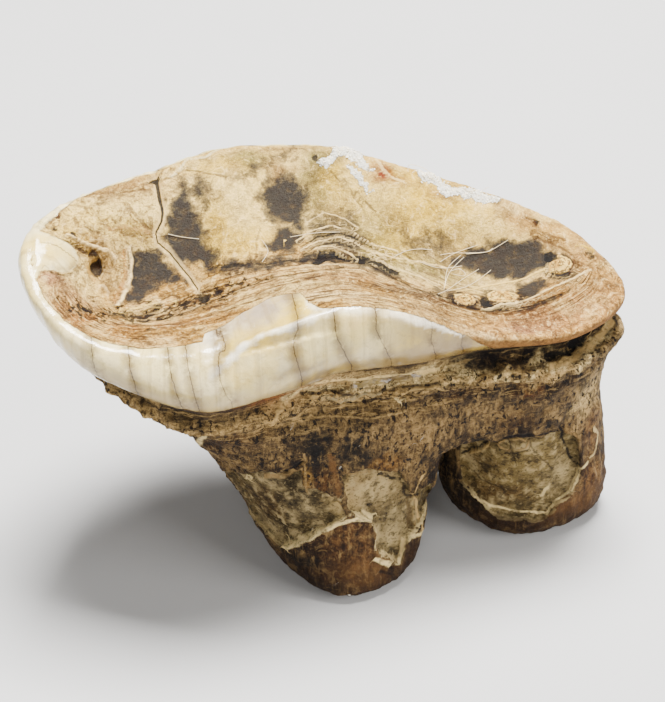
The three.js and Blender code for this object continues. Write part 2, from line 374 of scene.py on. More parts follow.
crestSamples = 900
ring = closedSpline(crown, crestSamples)
ring[:, :2] += shift
ahead = np.roll(ring[:, :2], -1, 0) - np.roll(ring[:, :2], 1, 0)
outward = np.stack([ahead[:, 1], -ahead[:, 0]], 1)
outward /= np.linalg.norm(outward, axis=1)[:, None]
lookup = KDTree(crestSamples)
for i, sample in enumerate(ring):
    lookup.insert((sample[0], sample[1], 0), i)
lookup.balance()
nearest = np.array([lookup.find((p[0], p[1], 0))[1] for p in points])
crestAt = ring[nearest]
out = ((plan - crestAt[:, :2]) * outward[nearest]).sum(1)  # outside the crest
inward = np.maximum(-out, 0)
turn = nearest / crestSamples * 2 * math.pi
edgeHeight, enamelWidth = crestAt[:, 2], crestAt[:, 3]
below = edgeHeight - z  # under the enamel's lower edge
top = smoothStep(0.1, 0.45, normals[:, 2]) * smoothStep(0.35, -0.1, out) * smoothStep(18.2, 18.9, z)
offTop = 1 - top
wall = smoothStep(-1.2, -0.4, -below) * offTop

# Growth layers run between the near crest and the valley of the chewing surface
[valley] = marks("""
118,306 160,292 205,275 262,262 300,256 340,254 372,262 410,282 452,297 490,306 530,298 560,284 582,268
""")
valleyDistance = sideOfLine(plan, onPlan(valley))
layer = inward / (inward + np.abs(valleyDistance) + 1e-6)
layer = np.where(valleyDistance < 0, layer, 1 + np.minimum(valleyDistance, 8) * 0.12)

# On the near cusp the enamel turns over the crest as a worn facet, and at the mesial end it makes a lobe
facetTopPixels, facetLowPixels, lobePixels = marks("""
203,335 223,325 251,308 268,299 282,294 301,293 309,302 329,308 356,307 393,310 430,321 466,336
212,374 225,364 245,345 264,335 282,329 301,323 319,315 338,312
10,235 38,231 60,238 75,247 79,258 76,267 64,273 50,270 40,271 34,285 10,290
""")
enamel = {"tip": 11.6, "tipSlope": 0.9, "foot": 17.5, "lobeFoot": 21, "lap": 0.05, "none": -3.0}

onCrest = (out < 0.05) & (normals[:, 2] > 0.35)
enamelField = np.where(onCrest, enamelWidth - inward, z - edgeHeight - enamel["lap"])
facetTop = onPlan(facetTopPixels)
facetGap = sideOfLine(plan, facetTop)
facetEnds = np.minimum(x - facetTop[0, 0], facetTop[-1, 0] - x)
onFacet = (y < 0) & (normals[:, 2] > 0.3) & (below < -1.0) & (facetEnds > 0)
enamelField = np.where(onFacet, -facetGap, enamelField)
lobe = insideDistance(plan, onPlan(lobePixels))
enamelField = np.where(z > enamel["lobeFoot"], np.maximum(enamelField, lobe), enamelField)
facetLow = np.array([onTooth(u, v) for u, v in facetLowPixels])
facetLowGap = lineDistance(points, facetLow)
facetSpan = smoothStep(facetLow[0, 0] - 1.0, facetLow[0, 0] + 0.6, x)
facetSpan *= smoothStep(facetLow[-1, 0] + 0.5, facetLow[-1, 0] - 2.5, x) * (y < 0)
taper = (enamel["tip"] - x) * enamel["tipSlope"] + below  # the band runs out in a point at the heel
bareOfEnamel = (z < enamel["foot"]) | (out < -2.0) & (normals[:, 2] < 0.36)
enamelField = np.where(bareOfEnamel, enamel["none"], np.minimum(enamelField, taper))


# Marks on the tooth, each at its place in the picture, with sizes in millimetres

# Outline, strength, softness of the border
stains = marks("""
129,249 142,247 155,247 167,259 187,276 178,281 167,282 155,288 146,301 124,305 118,307 129,285 132,266 \
| 1 0.22
175,197 168,225 165,243 172,256 186,264 212,266 215,254 205,236 198,222 192,205 189,187 184,180 178,182 \
| 1 0.45
193,175 207,184 210,199 206,207 198,202 194,191 | 0.75 0.4
258,196 266,180 284,172 302,179 311,196 307,215 300,230 290,222 282,221 268,219 261,208 | 1 0.4
268,240 275,227 290,225 299,236 297,248 286,254 275,251 | 1 0.35
252,146 300,148 288,154 272,158 257,174 242,182 249,166 252,155 | 0.8 0.5
450,257 470,246 497,241 520,240 537,241 544,250 556,257 548,265 530,272 510,280 488,277 463,269 450,264 \
| 1 0.3
542,250 550,250 557,257 550,262 540,260 | 1 0.2
405,238 450,236 456,252 436,260 412,254 | 0.6 0.8
513,285 530,280 550,281 546,289 524,301 515,292 | 1 0.2
200,262 240,262 290,258 318,252 345,256 320,262 280,268 235,273 205,270 | 0.9 0.35
310,220 345,214 362,228 366,246 350,254 322,250 310,238 | 0.62 0.7
352,258 384,266 400,276 385,276 362,268 | 0.7 0.4
479,300 489,302 492,307 482,306 | 1 0.15
430,282 455,290 470,303 450,300 436,292 | 0.6 0.3
""")

# Outlines of small dark hollows
cavities = marks("""
312,263 318,255 326,251 338,251 347,256 353,262 346,260 336,257 326,259 318,264
350,256 360,254 372,258 385,262 380,264 366,263 354,262
376,264 385,262 393,268 401,273 394,274 384,270
545,252 552,250 558,257 551,262 544,259
479,300 486,296 490,303 497,308 484,308
549,272 558,275 571,272 568,277 556,278
""")

# Pixel, half widths, colour, strength
topZones = marks("""
430,205 3.4,1.6 yellow 0.5
250,195 1.6,1.8 yellow 0.45
395,190 1.8,1.4 yellow 0.4
235,240 1.8,1 yellow 0.4
335,284 4,0.9 brown 0.35
400,302 4,0.8 brown 0.3
110,205 5,3 cream 0.75
145,215 2.2,2.2 cream 0.8
100,195 4,0.8 pinkBrown 0.6
140,176 3,0.7 pinkBrown 0.7
120,228 3,0.9 yellow 0.5
150,240 2,1 brown 0.3
228,200 3,2.6 cream 0.95
215,225 1.2,2 yellow 0.8
240,245 2.6,1.4 yellow 0.7
225,165 3.4,1 yellow 0.6
215,158 3.4,0.6 olive 0.3
200,178 1.2,0.8 brown 0.3
330,190 3,3.6 cream 0.75
322,165 1.6,1.8 greenGrey 0.8
330,180 1.2,1.4 yellow 0.7
316,205 0.8,3.2 greenGrey 0.55
345,205 2.2,2 brown 0.25
400,205 5,2.6 yellow 0.7
380,200 2,2 cream 0.6
455,215 4.2,1.6 yellow 0.75
490,228 3.4,0.9 cream 0.5
372,246 2.6,2.2 greenGrey 0.85
360,232 1.6,1.4 olive 0.3
405,262 3,1 greenGrey 0.6
430,275 4,1.4 greenGrey 0.6
395,245 2.4,1.2 yellow 0.5
281,166 1,1.1 pinkBrown 0.75
283,160 0.8,0.4 cream 0.7
250,158 1.4,0.9 greenGrey 0.7
66,286 2,1.2 pink 0.85
50,279 0.5,0.5 mauve 0.8
61,281 0.45,0.45 mauve 0.7
72,262 0.7,0.9 enamel 0.6
82,285 1.8,1.4 cream 0.7
110,282 1.3,1.8 tan 0.6
112,258 1.2,1.5 cream 0.55
95,250 1.6,0.7 tan 0.7
88,240 2.2,0.5 brown 0.35
98,268 0.75,0.95 brown 0.6
70,235 1.5,0.8 yellow 0.4
70,316 1.8,1.2 orangeTan 0.7
108,328 3.4,1.2 orangeTan 1
170,326 4,0.9 orangeTan 0.8
160,333 4,0.7 tan 0.8
140,318 3.2,0.9 brown 0.55
185,306 2.6,1 brown 0.5
230,287 3,0.8 brown 0.35
90,322 1.6,0.9 orangeTan 0.4
250,278 3.2,0.6 tan 0.5
300,285 3.5,0.8 cream 0.55
330,294 2.6,0.6 pale 0.8
380,292 3,0.8 tan 0.6
420,306 4,0.8 brown 0.3
340,262 3,0.5 brown 0.5
240,305 1.8,0.6 cream 0.6
500,208 3.4,0.8 pale 0.6
525,222 2,0.9 orangeTan 0.6
555,232 2.4,1.2 tan 0.8
548,240 1.2,0.5 brown 0.45
590,262 2.4,3 orangeTan 0.55
600,285 1.6,2.4 tan 0.7
570,285 2,1.2 brown 0.3
540,304 3.6,0.6 brown 0.4
600,250 1.6,0.8 brown 0.35
530,318 3.4,1 pink 0.8
524,330 1.6,0.6 mauve 0.85
478,316 2.6,0.9 tan 0.6
580,308 2.4,1.3 pink 0.6
440,318 3,0.6 pinkBrown 0.5
485,338 2.2,0.35 pale 0.9
450,302 4.2,0.9 brown 0.6
410,291 4.5,1 brown 0.75
350,278 3,0.8 orangeTan 0.4
383,175 0.8,1 rust 1
393,163 1.4,0.5 orange 0.7
372,168 0.8,0.5 orange 0.4
412,176 1.5,0.7 yellow 0.7
440,195 1.5,0.4 pinkBrown 0.7
470,210 2.4,0.5 yellow 0.6
""")

# Pixel, half widths, colour, strength; the first two darkBrown zones, at the ledge's left tip, are painted
# shade
sideZones = marks("""
150,405 4,1.2 darkBrown 0.8
180,422 3,1 darkBrown 0.6
300,430 4,1 darkBrown 0.4
250,426 3,1 darkBrown 0.4
500,405 4,0.8 darkBrown 0.35
345,402 5,1.6 ledgeGrey 0.9
400,396 3,1.2 ledgeGrey 0.7
325,382 4,0.8 ledge 0.95
425,376 5,0.8 ledge 0.95
455,372 3.6,0.8 pale 0.85
500,374 2.4,0.7 ledge 0.9
560,366 2.2,0.7 ledge 0.8
598,340 1.4,1.6 ledge 0.8
284,402 2,1.2 ledgeRust 0.9
300,388 1.6,0.5 ledgeRust 0.6
343,392 1.2,0.3 greyWhite 0.8
412,430 2.4,1.8 rootTan 0.6
520,412 3.4,0.9 rootTan 0.5
596,400 1,3 ledge 0.6
240,440 3,1.2 brown 0.6
275,445 2.6,1.6 rootTan 0.35
300,440 2.6,1.2 darkBrown 0.5
240,465 1.4,1.4 rootTan 0.4
316,458 0.8,2.4 black 0.98
355,452 1.1,1.9 black 1
338,450 0.7,1.6 rootTan 0.55
400,428 2.6,1.6 rootTan 0.75
425,440 1.2,2 rootTan 0.5
388,467 1.3,0.8 pinkBrown 0.85
405,480 1.4,1.2 rootTan 0.6
321,484 0.7,1.2 capLight 0.9
304,476 0.3,1.6 tan 0.55
330,478 0.9,1.4 brown 0.6
349,478 0.9,2.2 rootTan 0.85
268,400 2.2,0.6 orange 0.95
245,408 1.4,0.5 darkBrown 0.7
225,428 3,0.8 darkBrown 0.5
210,450 1.2,1.6 brown 0.5
330,560 3.4,2.4 cap 0.95
350,548 1.6,2.2 capLight 0.6
370,560 1.6,2 capLight 0.7
294,560 1,0.8 black 0.85
312,563 0.8,0.7 black 0.85
320,585 2.2,0.8 darkBrown 0.6
345,530 1.2,1 capLight 0.7
330,395 4,0.8 ledge 0.8
290,425 2.4,0.6 ledge 0.5
380,388 5,0.7 ledge 0.7
430,378 4,0.6 pale 0.6
420,398 5,0.5 darkBrown 0.7
470,392 3,0.6 brown 0.7
380,405 3,0.8 greyBrown 0.6
500,398 2.4,0.9 darkBrown 0.6
533,390 0.9,0.8 orange 0.6
533,388 0.5,0.4 pale 0.6
556,380 1.6,0.9 darkBrown 0.65
590,365 1.4,1.2 brown 0.6
475,415 2.2,1.4 rootTan 0.75
515,420 1.5,1 brown 0.5
555,410 1.8,0.9 rootTan 0.6
586,405 1.3,2.6 pale 0.8
575,425 0.9,1.6 pinkBrown 0.5
592,430 0.7,1.4 capLight 0.6
590,480 1.2,1.8 capLight 0.9
592,425 1,2.2 capLight 0.8
565,505 2.2,1 capLight 0.7
535,520 2,0.5 darkBrown 0.4
450,470 0.9,2 darkBrown 0.6
448,495 1,2 black 0.6
470,500 1.6,1 darkBrown 0.5
530,345 4.5,0.9 darkBrown 0.5
356,448 1.1,1.6 black 0.95
318,450 0.8,2 black 0.7
468,362 1.1,0.45 greyWhite 0.95
182,436 1.4,0.35 brokenEdge 0.7
300,385 1.8,0.4 pale 0.5
""")

# The same, on the dentine under the flaked cementum
exposedZones = marks("""
300,505 2.2,1.8 oliveDark 1
262,500 1.2,2 greyBrown 0.8
245,500 1,2 olive 0.8
268,484 1,0.7 oliveYellow 0.9
285,478 1.6,0.9 black 0.65
268,530 0.9,0.8 oliveYellow 0.9
250,535 1.2,1 greyBrown 0.7
305,510 1.6,0.9 oliveYellow 0.5
325,502 1.2,0.9 oliveDark 0.9
290,535 1.6,0.8 oliveDark 0.7
372,488 2.4,1.6 ledge 0.6
375,490 2,1.3 oliveYellow 0.8
388,530 1.2,2 olive 0.9
393,530 1.4,1.8 oliveYellow 0.7
345,500 1,1.2 pale 0.55
370,505 0.6,0.42 black 1
352,492 0.5,1 brown 0.6
500,475 4.4,2.4 heelRoot 0.95
545,450 2,1.2 heelRoot 0.6
560,475 1.2,1.4 oliveYellow 0.7
480,465 1.8,1.2 greyBrown 0.6
500,495 2.4,0.8 brown 0.55
530,480 1.6,1 oliveDark 0.35
""")

# The same, on the enamel; its enamelDark zones at 300,370 and 330,372 are painted shade along the enamel's
# lower edge, and its enamelBright zones at 211,340 and 200,345 are partly a painted highlight, partly the
# enamel's own white
enamelZones = marks("""
266,309 1.9,0.8 enamelSilver 0.95
284,298 0.8,0.7 enamelSilver 0.9
232,330 1.6,0.6 enamelSilver 0.7
302,304 0.8,0.9 enamelYellow 1
284,318 1.9,0.5 enamelYellow 0.95
250,334 1.8,0.6 enamelYellow 1
226,350 0.7,1 enamelYellow 0.9
211,340 0.5,1.4 enamelBright 0.9
70,262 0.6,0.8 enamelGrey 0.9
62,252 0.8,0.6 enamelWarm 0.7
240,375 1.8,1.4 enamelYellow 0.5
350,330 3,1.2 enamelWarm 0.8
300,370 2.4,0.7 enamelDark 0.8
200,345 1,1.2 enamelBright 0.6
248,335 1.8,0.7 enamelYellow 0.85
195,352 1.2,1 enamelYellow 0.6
300,312 1.5,0.5 enamelYellow 0.85
42,250 1.5,1.3 enamelYellow 0.8
32,285 0.8,1.6 enamelYellow 0.3
262,310 2.2,0.7 enamelSilver 0.85
245,318 1.6,0.5 enamelSilver 0.6
330,372 2.5,0.5 enamelDark 0.8
345,350 1,1.2 enamelGrey 0.5
440,352 3.4,0.7 enamelGrey 0.8
400,340 2.4,1.2 enamelYellow 0.3
295,352 0.7,1.4 enamelGrey 0.6
100,380 1.4,0.8 enamelGrey 0.5
275,345 1,1.2 enamelGrey 0.35
150,405 2.4,0.5 enamelGrey 0.6
465,340 1.5,0.8 enamelGrey 0.6
210,340 0.9,0.6 enamelGrey 0.5
365,318 2.5,0.4 pale 0.5
""")

# Hairlines down the enamel, from left to right
enamelCracks = marks("""
92,352 95,368 102,388
128,348 130,368 135,385 143,402
168,352 171,375 178,398 186,412
186,350 188,368 193,390 200,412
222,330 218,350 220,380 226,396 232,402
298,328 293,345 297,362 302,378
334,316 336,335 344,352 352,366
376,316 376,330 386,350 392,362
432,328 431,340 436,356
462,335 461,345 464,352
""")

farCracks = [-15.6, -11.2, -8.4, -4.6, -1.3, 2.9, 6.2, 8.1]  # where (X) hairlines stand on the far side

# Pixels, half width, colour, strength, rise
topLines = marks("""
380,171 387,178 | 0.5 rust 0.8 0
42,267 54,273 66,276 78,272 84,262 | 0.1 stainBrown 0.6 -0.06
50,235 58,238 66,241 80,249 92,258 100,266 | 0.13 stainBrown 0.9 -0.12
66,234 87,244 107,252 116,259 | 0.13 pale 0.8 0.07
70,238 90,248 104,256 | 0.09 brown 0.5 -0.04
86,262 90,272 97,282 | 0.14 tan 0.7 0
128,246 132,262 131,276 127,290 121,299 116,308 | 0.15 pale 0.95 0.09
123,250 126,268 122,286 113,302 | 0.12 orangeTan 0.6 -0.03
118,250 120,264 117,280 108,294 | 0.1 brown 0.4 -0.03
110,255 112,268 109,282 100,292 | 0.09 brown 0.3 -0.03
45,228 60,214 75,203 92,197 110,193 129,192 153,188 | 0.14 brown 0.7 -0.06
60,212 80,199 100,190 125,182 148,176 | 0.3 pinkBrown 0.5 -0.03
38,230 52,216 66,205 85,194 | 0.22 enamel 0.95 0.06
170,165 188,162 205,159 222,152 | 0.1 enamel 0.6 0.03
282,238 287,238 | 0.2 beadPale 0.95 0.06
160,180 170,178 186,170 200,172 214,176 228,180 | 0.1 stainBrown 0.6 -0.05
127,207 139,219 149,230 154,238 | 0.16 brown 0.65 -0.04
128,207 121,219 117,228 | 0.11 brown 0.5 -0.03
106,231 125,227 140,229 152,234 | 0.13 pinkBrown 0.6 0.04
96,222 112,228 128,236 146,240 | 0.1 brown 0.4 -0.03
84,226 92,232 104,234 | 0.16 stainBrown 0.6 -0.05
162,220 157,230 155,237 | 0.08 brown 0.5 -0.03
198,289 206,293 219,287 228,284 227,290 | 0.09 stainBrown 0.8 -0.06
158,305 163,297 172,294 180,297 178,306 168,308 | 0.1 stainBrown 0.75 -0.05
172,303 177,300 | 0.14 beadPale 0.8 0.05
199,293 203,297 201,301 | 0.34 oliveDark 0.9 -0.08
216,288 221,292 | 0.34 darkBrown 0.9 -0.08
118,309 139,308 150,304 162,302 | 0.12 beadPale 0.8 0.06
110,313 128,314 145,313 160,309 | 0.2 darkBrown 0.6 -0.1
115,325 150,320 190,310 225,295 255,283 300,273 345,267 | 0.12 darkBrown 0.75 -0.08
130,333 170,326 205,315 240,300 275,286 320,278 | 0.11 brown 0.6 -0.05
143,330 150,329 158,329 | 0.2 darkBrown 0.8 -0.08
120,340 160,338 200,330 230,316 | 0.09 brown 0.4 -0.03
205,268 230,266 262,264 300,260 | 0.16 black 0.7 -0.06
300,262 325,255 350,258 372,266 392,276 420,290 450,300 | 0.12 darkBrown 0.75 -0.08
318,252 330,250 342,255 | 0.22 black 0.9 -0.1
322,259 336,262 350,260 | 0.14 black 0.8 -0.06
368,258 384,262 398,270 420,277 445,290 | 0.1 pale 0.55 0.03
350,240 372,252 396,258 420,262 448,268 | 0.09 pale 0.5 0.03
295,240 310,230 330,226 352,232 376,246 398,252 | 0.08 pale 0.7 0.07
300,245 318,235 338,231 358,238 378,250 | 0.08 black 0.8 -0.07
300,250 318,240 338,236 356,243 374,254 | 0.08 pale 0.7 0.06
302,255 320,244 338,241 354,247 | 0.09 black 0.7 -0.06
305,222 324,214 344,220 360,230 | 0.06 pale 0.5 0.05
312,249 328,245 346,251 360,258 | 0.08 pale 0.7 0.05
430,290 457,304 481,310 504,309 526,307 550,298 571,291 | 0.11 darkBrown 0.9 -0.1
440,300 470,309 500,314 526,312 548,304 560,297 | 0.1 brown 0.7 -0.06
454,293 483,286 500,283 517,280 532,274 545,269 | 0.1 beadPale 0.85 0.09
480,310 500,306 516,305 524,301 550,290 577,278 595,269 | 0.09 pale 0.8 0.07
516,312 540,305 558,297 572,289 | 0.1 darkBrown 0.8 -0.06
536,236 550,242 566,250 574,257 574,268 568,274 | 0.11 brown 0.7 -0.05
549,272 558,276 570,272 | 0.1 darkBrown 0.75 -0.06
520,216 530,222 540,231 552,236 566,240 | 0.13 brown 0.6 0.06
524,218 534,221 537,229 530,234 | 0.22 brown 0.8 -0.08
556,226 575,236 592,248 603,262 | 0.12 pinkBrown 0.5 -0.03
583,254 590,253 594,257 588,260 | 0.15 darkBrown 0.85 -0.08
578,262 590,268 596,276 | 0.1 brown 0.6 -0.04
575,246 586,248 596,252 | 0.1 yellow 0.6 0.05
372,160 395,162 412,168 | 0.14 pale 0.5 0.04
343,180 352,196 360,208 | 0.1 stainBrown 0.6 -0.03
356,192 368,206 376,214 | 0.1 stainBrown 0.6 -0.03
330,172 340,182 346,194 | 0.09 stainBrown 0.5 -0.03
256,262 256,240 262,226 | 0.08 stainBrown 0.4 -0.03
230,150 262,150 300,150 | 0.12 brown 0.4 -0.03
""")

# Pixels, half width, colour, strength, rise
sideLines = marks("""
360,443 361,444 | 0.05 chalk 0.95 0.05
416,441 417,442 | 0.05 chalk 0.9 0.05
424,437 425,438 | 0.05 chalk 0.9 0.05
313,527 314,528 | 0.05 chalk 0.9 0.05
338,581 339,582 | 0.05 chalk 0.9 0.05
348,593 351,594 | 0.09 chalk 0.9 0.06
342,465 343,466 | 0.05 chalk 0.9 0.05
514,407 515,408 | 0.05 chalk 0.9 0.05
290,430 292,431 | 0.05 chalk 0.8 0.04
604,500 605,501 | 0.05 chalk 0.8 0.04
395,400 400,403 404,404 | 0.08 brokenEdge 0.8 0.06
250,474 261,472 283,474 296,466 304,463 | 0.12 black 0.95 -0.14
244,481 247,476 251,478 248,482 | 0.1 brokenEdge 0.7 0.1
262,477 282,478 302,470 | 0.26 rootTan 0.8 0.03
304,452 305,470 307,490 309,497 | 0.1 rootTan 0.85 0.06
322,497 334,496 342,499 | 0.14 oliveYellow 0.7 0.03
331,453 334,475 338,496 | 0.3 capLight 0.6 0.05
347,475 360,473 372,472 | 0.12 rootTan 0.7 0.03
377,476 382,475 392,479 402,481 | 0.12 black 0.9 -0.1
404,484 405,492 408,498 422,494 | 0.1 darkBrown 0.8 -0.07
268,547 284,547 299,544 301,540 320,531 339,523 356,519 373,517 | 0.17 brokenEdge 1 0.08
372,557 382,562 391,565 | 0.2 brokenEdge 1 0.08
391,566 394,575 397,584 | 0.14 darkBrown 0.8 -0.08
422,531 412,535 404,539 402,550 398,566 | 0.17 brokenEdge 0.9 0.08
436,480 434,494 427,510 421,530 | 0.1 ledge 0.8 0.05
373,524 376,534 375,551 | 0.12 brokenEdge 0.55 0.04
379,513 374,515 366,513 362,508 | 0.1 brokenEdge 0.7 0.05
410,498 412,515 411,530 | 0.3 greyBrown 0.6 -0.05
276,517 282,519 283,526 | 0.2 oliveYellow 0.8 0.04
462,456 482,446 505,438 530,436 558,432 | 0.11 black 0.9 -0.14
560,425 564,440 570,455 578,468 | 0.12 black 0.9 -0.12
505,436 512,452 516,468 | 0.08 darkBrown 0.6 -0.06
528,438 534,452 545,462 556,472 | 0.08 darkBrown 0.5 -0.05
470,470 480,480 500,488 512,500 | 0.08 darkBrown 0.6 -0.05
498,444 506,441 520,440 530,443 526,449 510,451 500,448 498,444 | 0.1 rootTan 0.9 0.12
502,454 514,455 528,452 | 0.08 darkBrown 0.8 -0.08
462,450 470,453 480,450 490,446 | 0.12 ledge 0.7 0.1
470,494 478,498 495,507 512,511 530,512 546,514 556,500 570,490 | 0.1 brokenEdge 0.9 0.08
570,490 576,478 580,468 588,460 | 0.15 brokenEdge 0.8 0.08
588,460 596,450 598,436 594,425 | 0.1 brokenEdge 0.6 0.06
540,498 546,490 552,486 | 0.14 brokenEdge 0.6 0.05
392,362 420,358 452,354 486,350 | 0.07 black 0.85 -0.12
262,398 290,386 320,378 355,373 392,368 | 0.07 black 0.8 -0.12
300,396 330,392 362,395 400,388 440,384 | 0.12 darkBrown 0.8 -0.12
300,410 330,402 360,404 400,398 440,396 | 0.12 darkBrown 0.8 -0.12
320,400 350,398 380,392 | 0.12 greyWhite 0.7 0.06
262,426 275,416 286,404 300,394 | 0.2 ledge 0.6 0.1
255,428 290,420 330,416 370,418 410,410 | 0.08 ledge 0.35 0.08
310,384 350,380 400,376 440,370 | 0.16 pale 0.7 0.08
400,392 430,388 458,390 486,385 | 0.08 ledge 0.7 0.06
172,436 182,437 192,439 204,438 | 0.2 brokenEdge 0.9 0.12
544,356 565,350 585,338 602,324 618,308 | 0.24 black 0.95 -0.12
548,368 577,355 597,339 612,322 621,306 | 0.2 ledge 0.9 0.1
433,470 438,490 446,510 | 0.14 black 0.6 -0.08
""")

ledgeEdge, crackPixels = marks("""
286,398 300,390 318,392 345,392 372,384 400,378 430,373 452,370 470,374 490,374 505,376 513,383 520,377 \
527,372 545,366 560,362 575,357 588,346 600,334 610,325 618,317
154,166 156,178 159,194 163,212 162,221 156,233 158,242 170,252 180,265 189,276 197,288
""")

# Where the flaked cementum's lower edge is broken: pixel, half widths
edgeZones = marks("""
300,535 4.2,1.4
352,518 1.6,0.6
382,560 1.2,0.8
418,520 1,2
515,503 4.2,0.8
577,458 0.8,1.4
240,525 0.6,2.2
""")

# Pixel, half widths
beads = marks("""
464,299 0.66,0.52
502,295 1.08,0.82
561,265 0.8,0.8
""")

# Pixel, half widths
pitPixels = marks("""
97,268 0.4,0.6
57,217 0.24,0.24
55,229 0.2,0.2
73,234 0.22,0.2
70,310 0.22,0.2
84,309 0.26,0.22
103,313 0.3,0.2
315,158 0.26,0.26
536,222 0.24,0.24
205,300 0.4,0.24
185,303 0.5,0.25
219,291 0.3,0.2
125,316 0.5,0.2
150,314 0.5,0.2
138,322 0.45,0.18
165,318 0.4,0.18
""")

# Pixel, half widths
longPitZones = marks("""
135,318 3,1.1
185,306 2.6,1.1
230,288 2.4,0.8
90,312 1.6,1
""")

# Pixel, half widths
foldZones = marks("""
335,240 3,1.5
395,262 4.5,1.1
300,262 3,0.7
450,285 3,0.8
520,300 4,0.8
""")

# Pixels, half width
chalkBands = marks("""
322,148 340,153 356,161 366,168 | 0.42
350,172 360,180 369,190 | 0.3
425,177 434,182 442,188 | 0.42
444,191 462,193 480,196 496,203 | 0.45
""")

# Soft rises and hollows of the chewing surface: pixel, half widths, height
swells = marks("""
230,195 2.2,3.4 0.32
190,225 1.8,3.2 -0.32
152,272 2.2,1.8 -0.3
286,200 2.4,3.2 -0.36
284,238 1.4,1.2 -0.25
332,185 2,3.6 0.3
322,165 1.2,1.2 -0.2
395,205 3.6,2.4 0.28
505,260 4,1.6 -0.34
105,205 4.5,1.2 0.2
112,258 1.6,1.6 0.22
97,268 1.2,1.2 -0.2
340,240 2.6,1.6 -0.2
450,215 4,1.2 0.2
585,275 2,3 0.15
""")

tint = np.tile(linear("cementum"), (len(points), 1))
second = np.tile(linear("enamel"), (len(points), 1))


def paint(target, colour, weight):
    target += (linear(colour) - target) * np.clip(weight, 0, 1)[:, None]


def zoneWeight(chart, centre, half):
    gap = (chart - centre) / np.array(half)
    return np.exp(-(gap ** 2).sum(1) ** 1.2)


def paintZones(target, zones, chart, onChart, mask):
    for place, half, colour, strength in zones:
        paint(target, colour, zoneWeight(chart, onChart([place])[0], half) * strength * mask)


def ovalDistance(place, half):  # from a pixel seen from above, in half widths
    return np.linalg.norm((plan - onPlan([place])[0]) / np.array(half), axis=1)


def planZones(zones, floor):  # the strongest of several zones of the chewing surface
    field = floor
    for place, half in zones:
        field = np.maximum(field, zoneWeight(planWobbled, onPlan([place])[0], half) * top)
    return field


zero = np.zeros(len(points))
wobble = [cloud(points, 1.3, seed, 4) for seed in (1, 2, 3)]
ragged = [cloud(points, 0.7, seed, 4) for seed in (4, 5)]
raggedShift = np.stack([ragged[0], ragged[1], ragged[0] - ragged[1]], 1)
wobbled = points + np.stack(wobble, 1) * 0.55 + raggedShift * 0.18
planWobbled, flankWobbled = wobbled[:, :2], wobbled[:, [0, 2]]
facing = smoothStep(0.15, -0.25, normals[:, 1]) * smoothStep(6, 4, y)
broad = cloud(points, 4.5, 21, 3)
patchy = cloud(points, 2.0, 22, 4)
speckled = cloud(points, 0.8, 23, 4)
heelSide = smoothStep(7.5, 11.0, x)

# Neck and roots
paint(tint, "rootTan", smoothStep(-0.1, 0.5, patchy) * 0.5)
paint(tint, "darkBrown", smoothStep(0.0, 0.55, -patchy) * 0.5)
paint(tint, "cap", smoothStep(4.5, 2.5, z + patchy * 0.5) * 0.8)
paintZones(tint, sideZones, flankWobbled, onFlank, facing)
paint(tint, "ledge", ridge(below, 2.2, 0.8) * offTop * smoothStep(-0.8, 0.0, broad))
# Painted shade: the recess between the enamel's lower edge and the ledge's lip is darkened, most at the heel,
# with grey-brown patches there
recess = smoothStep(0.0, 0.5, below) * smoothStep(1.9, 1.2, below) * offTop * smoothStep(0.3, -0.2, out + 0.1)
recess *= 0.2 + 0.8 * heelSide
paint(tint, "darkBrown", recess)
paint(tint, "greyBrown", recess * heelSide * smoothStep(0.1, 0.5, patchy) * 0.7)
# Painted shade: a thin darker band just under the enamel's lower edge
underLipShade = smoothStep(0.6, 0.0, np.abs(below - 0.1)) * offTop * smoothStep(-9, -6, x)
paint(tint, "darkBrown", underLipShade * 0.3)
ledgeGap = lineDistance(flankWobbled, onFlank(ledgeEdge))
paint(tint, "brokenEdge", smoothStep(0.42, 0.12, ledgeGap + speckled * 0.15) * facing * 0.85)

# Chewing surface, and the crown's wall where it has no enamel
crownWall = smoothStep(0.1, -0.4, below) * offTop
paint(tint, "pinkBrown", crownWall * 0.95)
paint(tint, "cream", crownWall * smoothStep(-0.2, 0.5, broad + patchy * 0.5) * 0.6)
paint(tint, "brown", crownWall * smoothStep(0.1, 0.6, speckled) * 0.4)
paint(tint, "tan", top)
paint(tint, "pale", smoothStep(-0.3, 0.5, broad) * top * 0.35)
farSlope = smoothStep(0.3, 2.5, valleyDistance) * top
paint(tint, "cream", farSlope * 0.6)
paintZones(tint, topZones, planWobbled, onPlan, top)
paint(tint, "brown", smoothStep(0.15, 0.6, patchy) * top * 0.4)
paint(tint, "cream", smoothStep(0.15, 0.6, -patchy) * top * 0.3)
paint(tint, "brown", smoothStep(0.2, 0.6, speckled) * top * 0.25)
paint(tint, "tan", smoothStep(0.9, 0.2, inward) * top * smoothStep(3, 6, y) * 0.4)
shoulder = heelSide * smoothStep(2.4, 0.6, np.abs(out + 0.5)) * smoothStep(0.2, -0.6, below)
paint(tint, "pink", shoulder * 0.25 * smoothStep(0, -3, y))

stainField = zero
for outline, strength, soft in stains:
    inside = insideDistance(planWobbled, onPlan(outline)) + ragged[0] * 0.2
    stainField = np.maximum(stainField, smoothStep(-soft * 1.5, soft * 1.2 + 0.1, inside) * strength * top)

hollow = zero - 1
for outline in cavities:
    hollow = np.maximum(hollow, insideDistance(plan, onPlan(outline)) + ragged[1] * 0.06)
hollow = np.where(top > 0.5, smoothStep(-0.14, 0.1, hollow), 0)
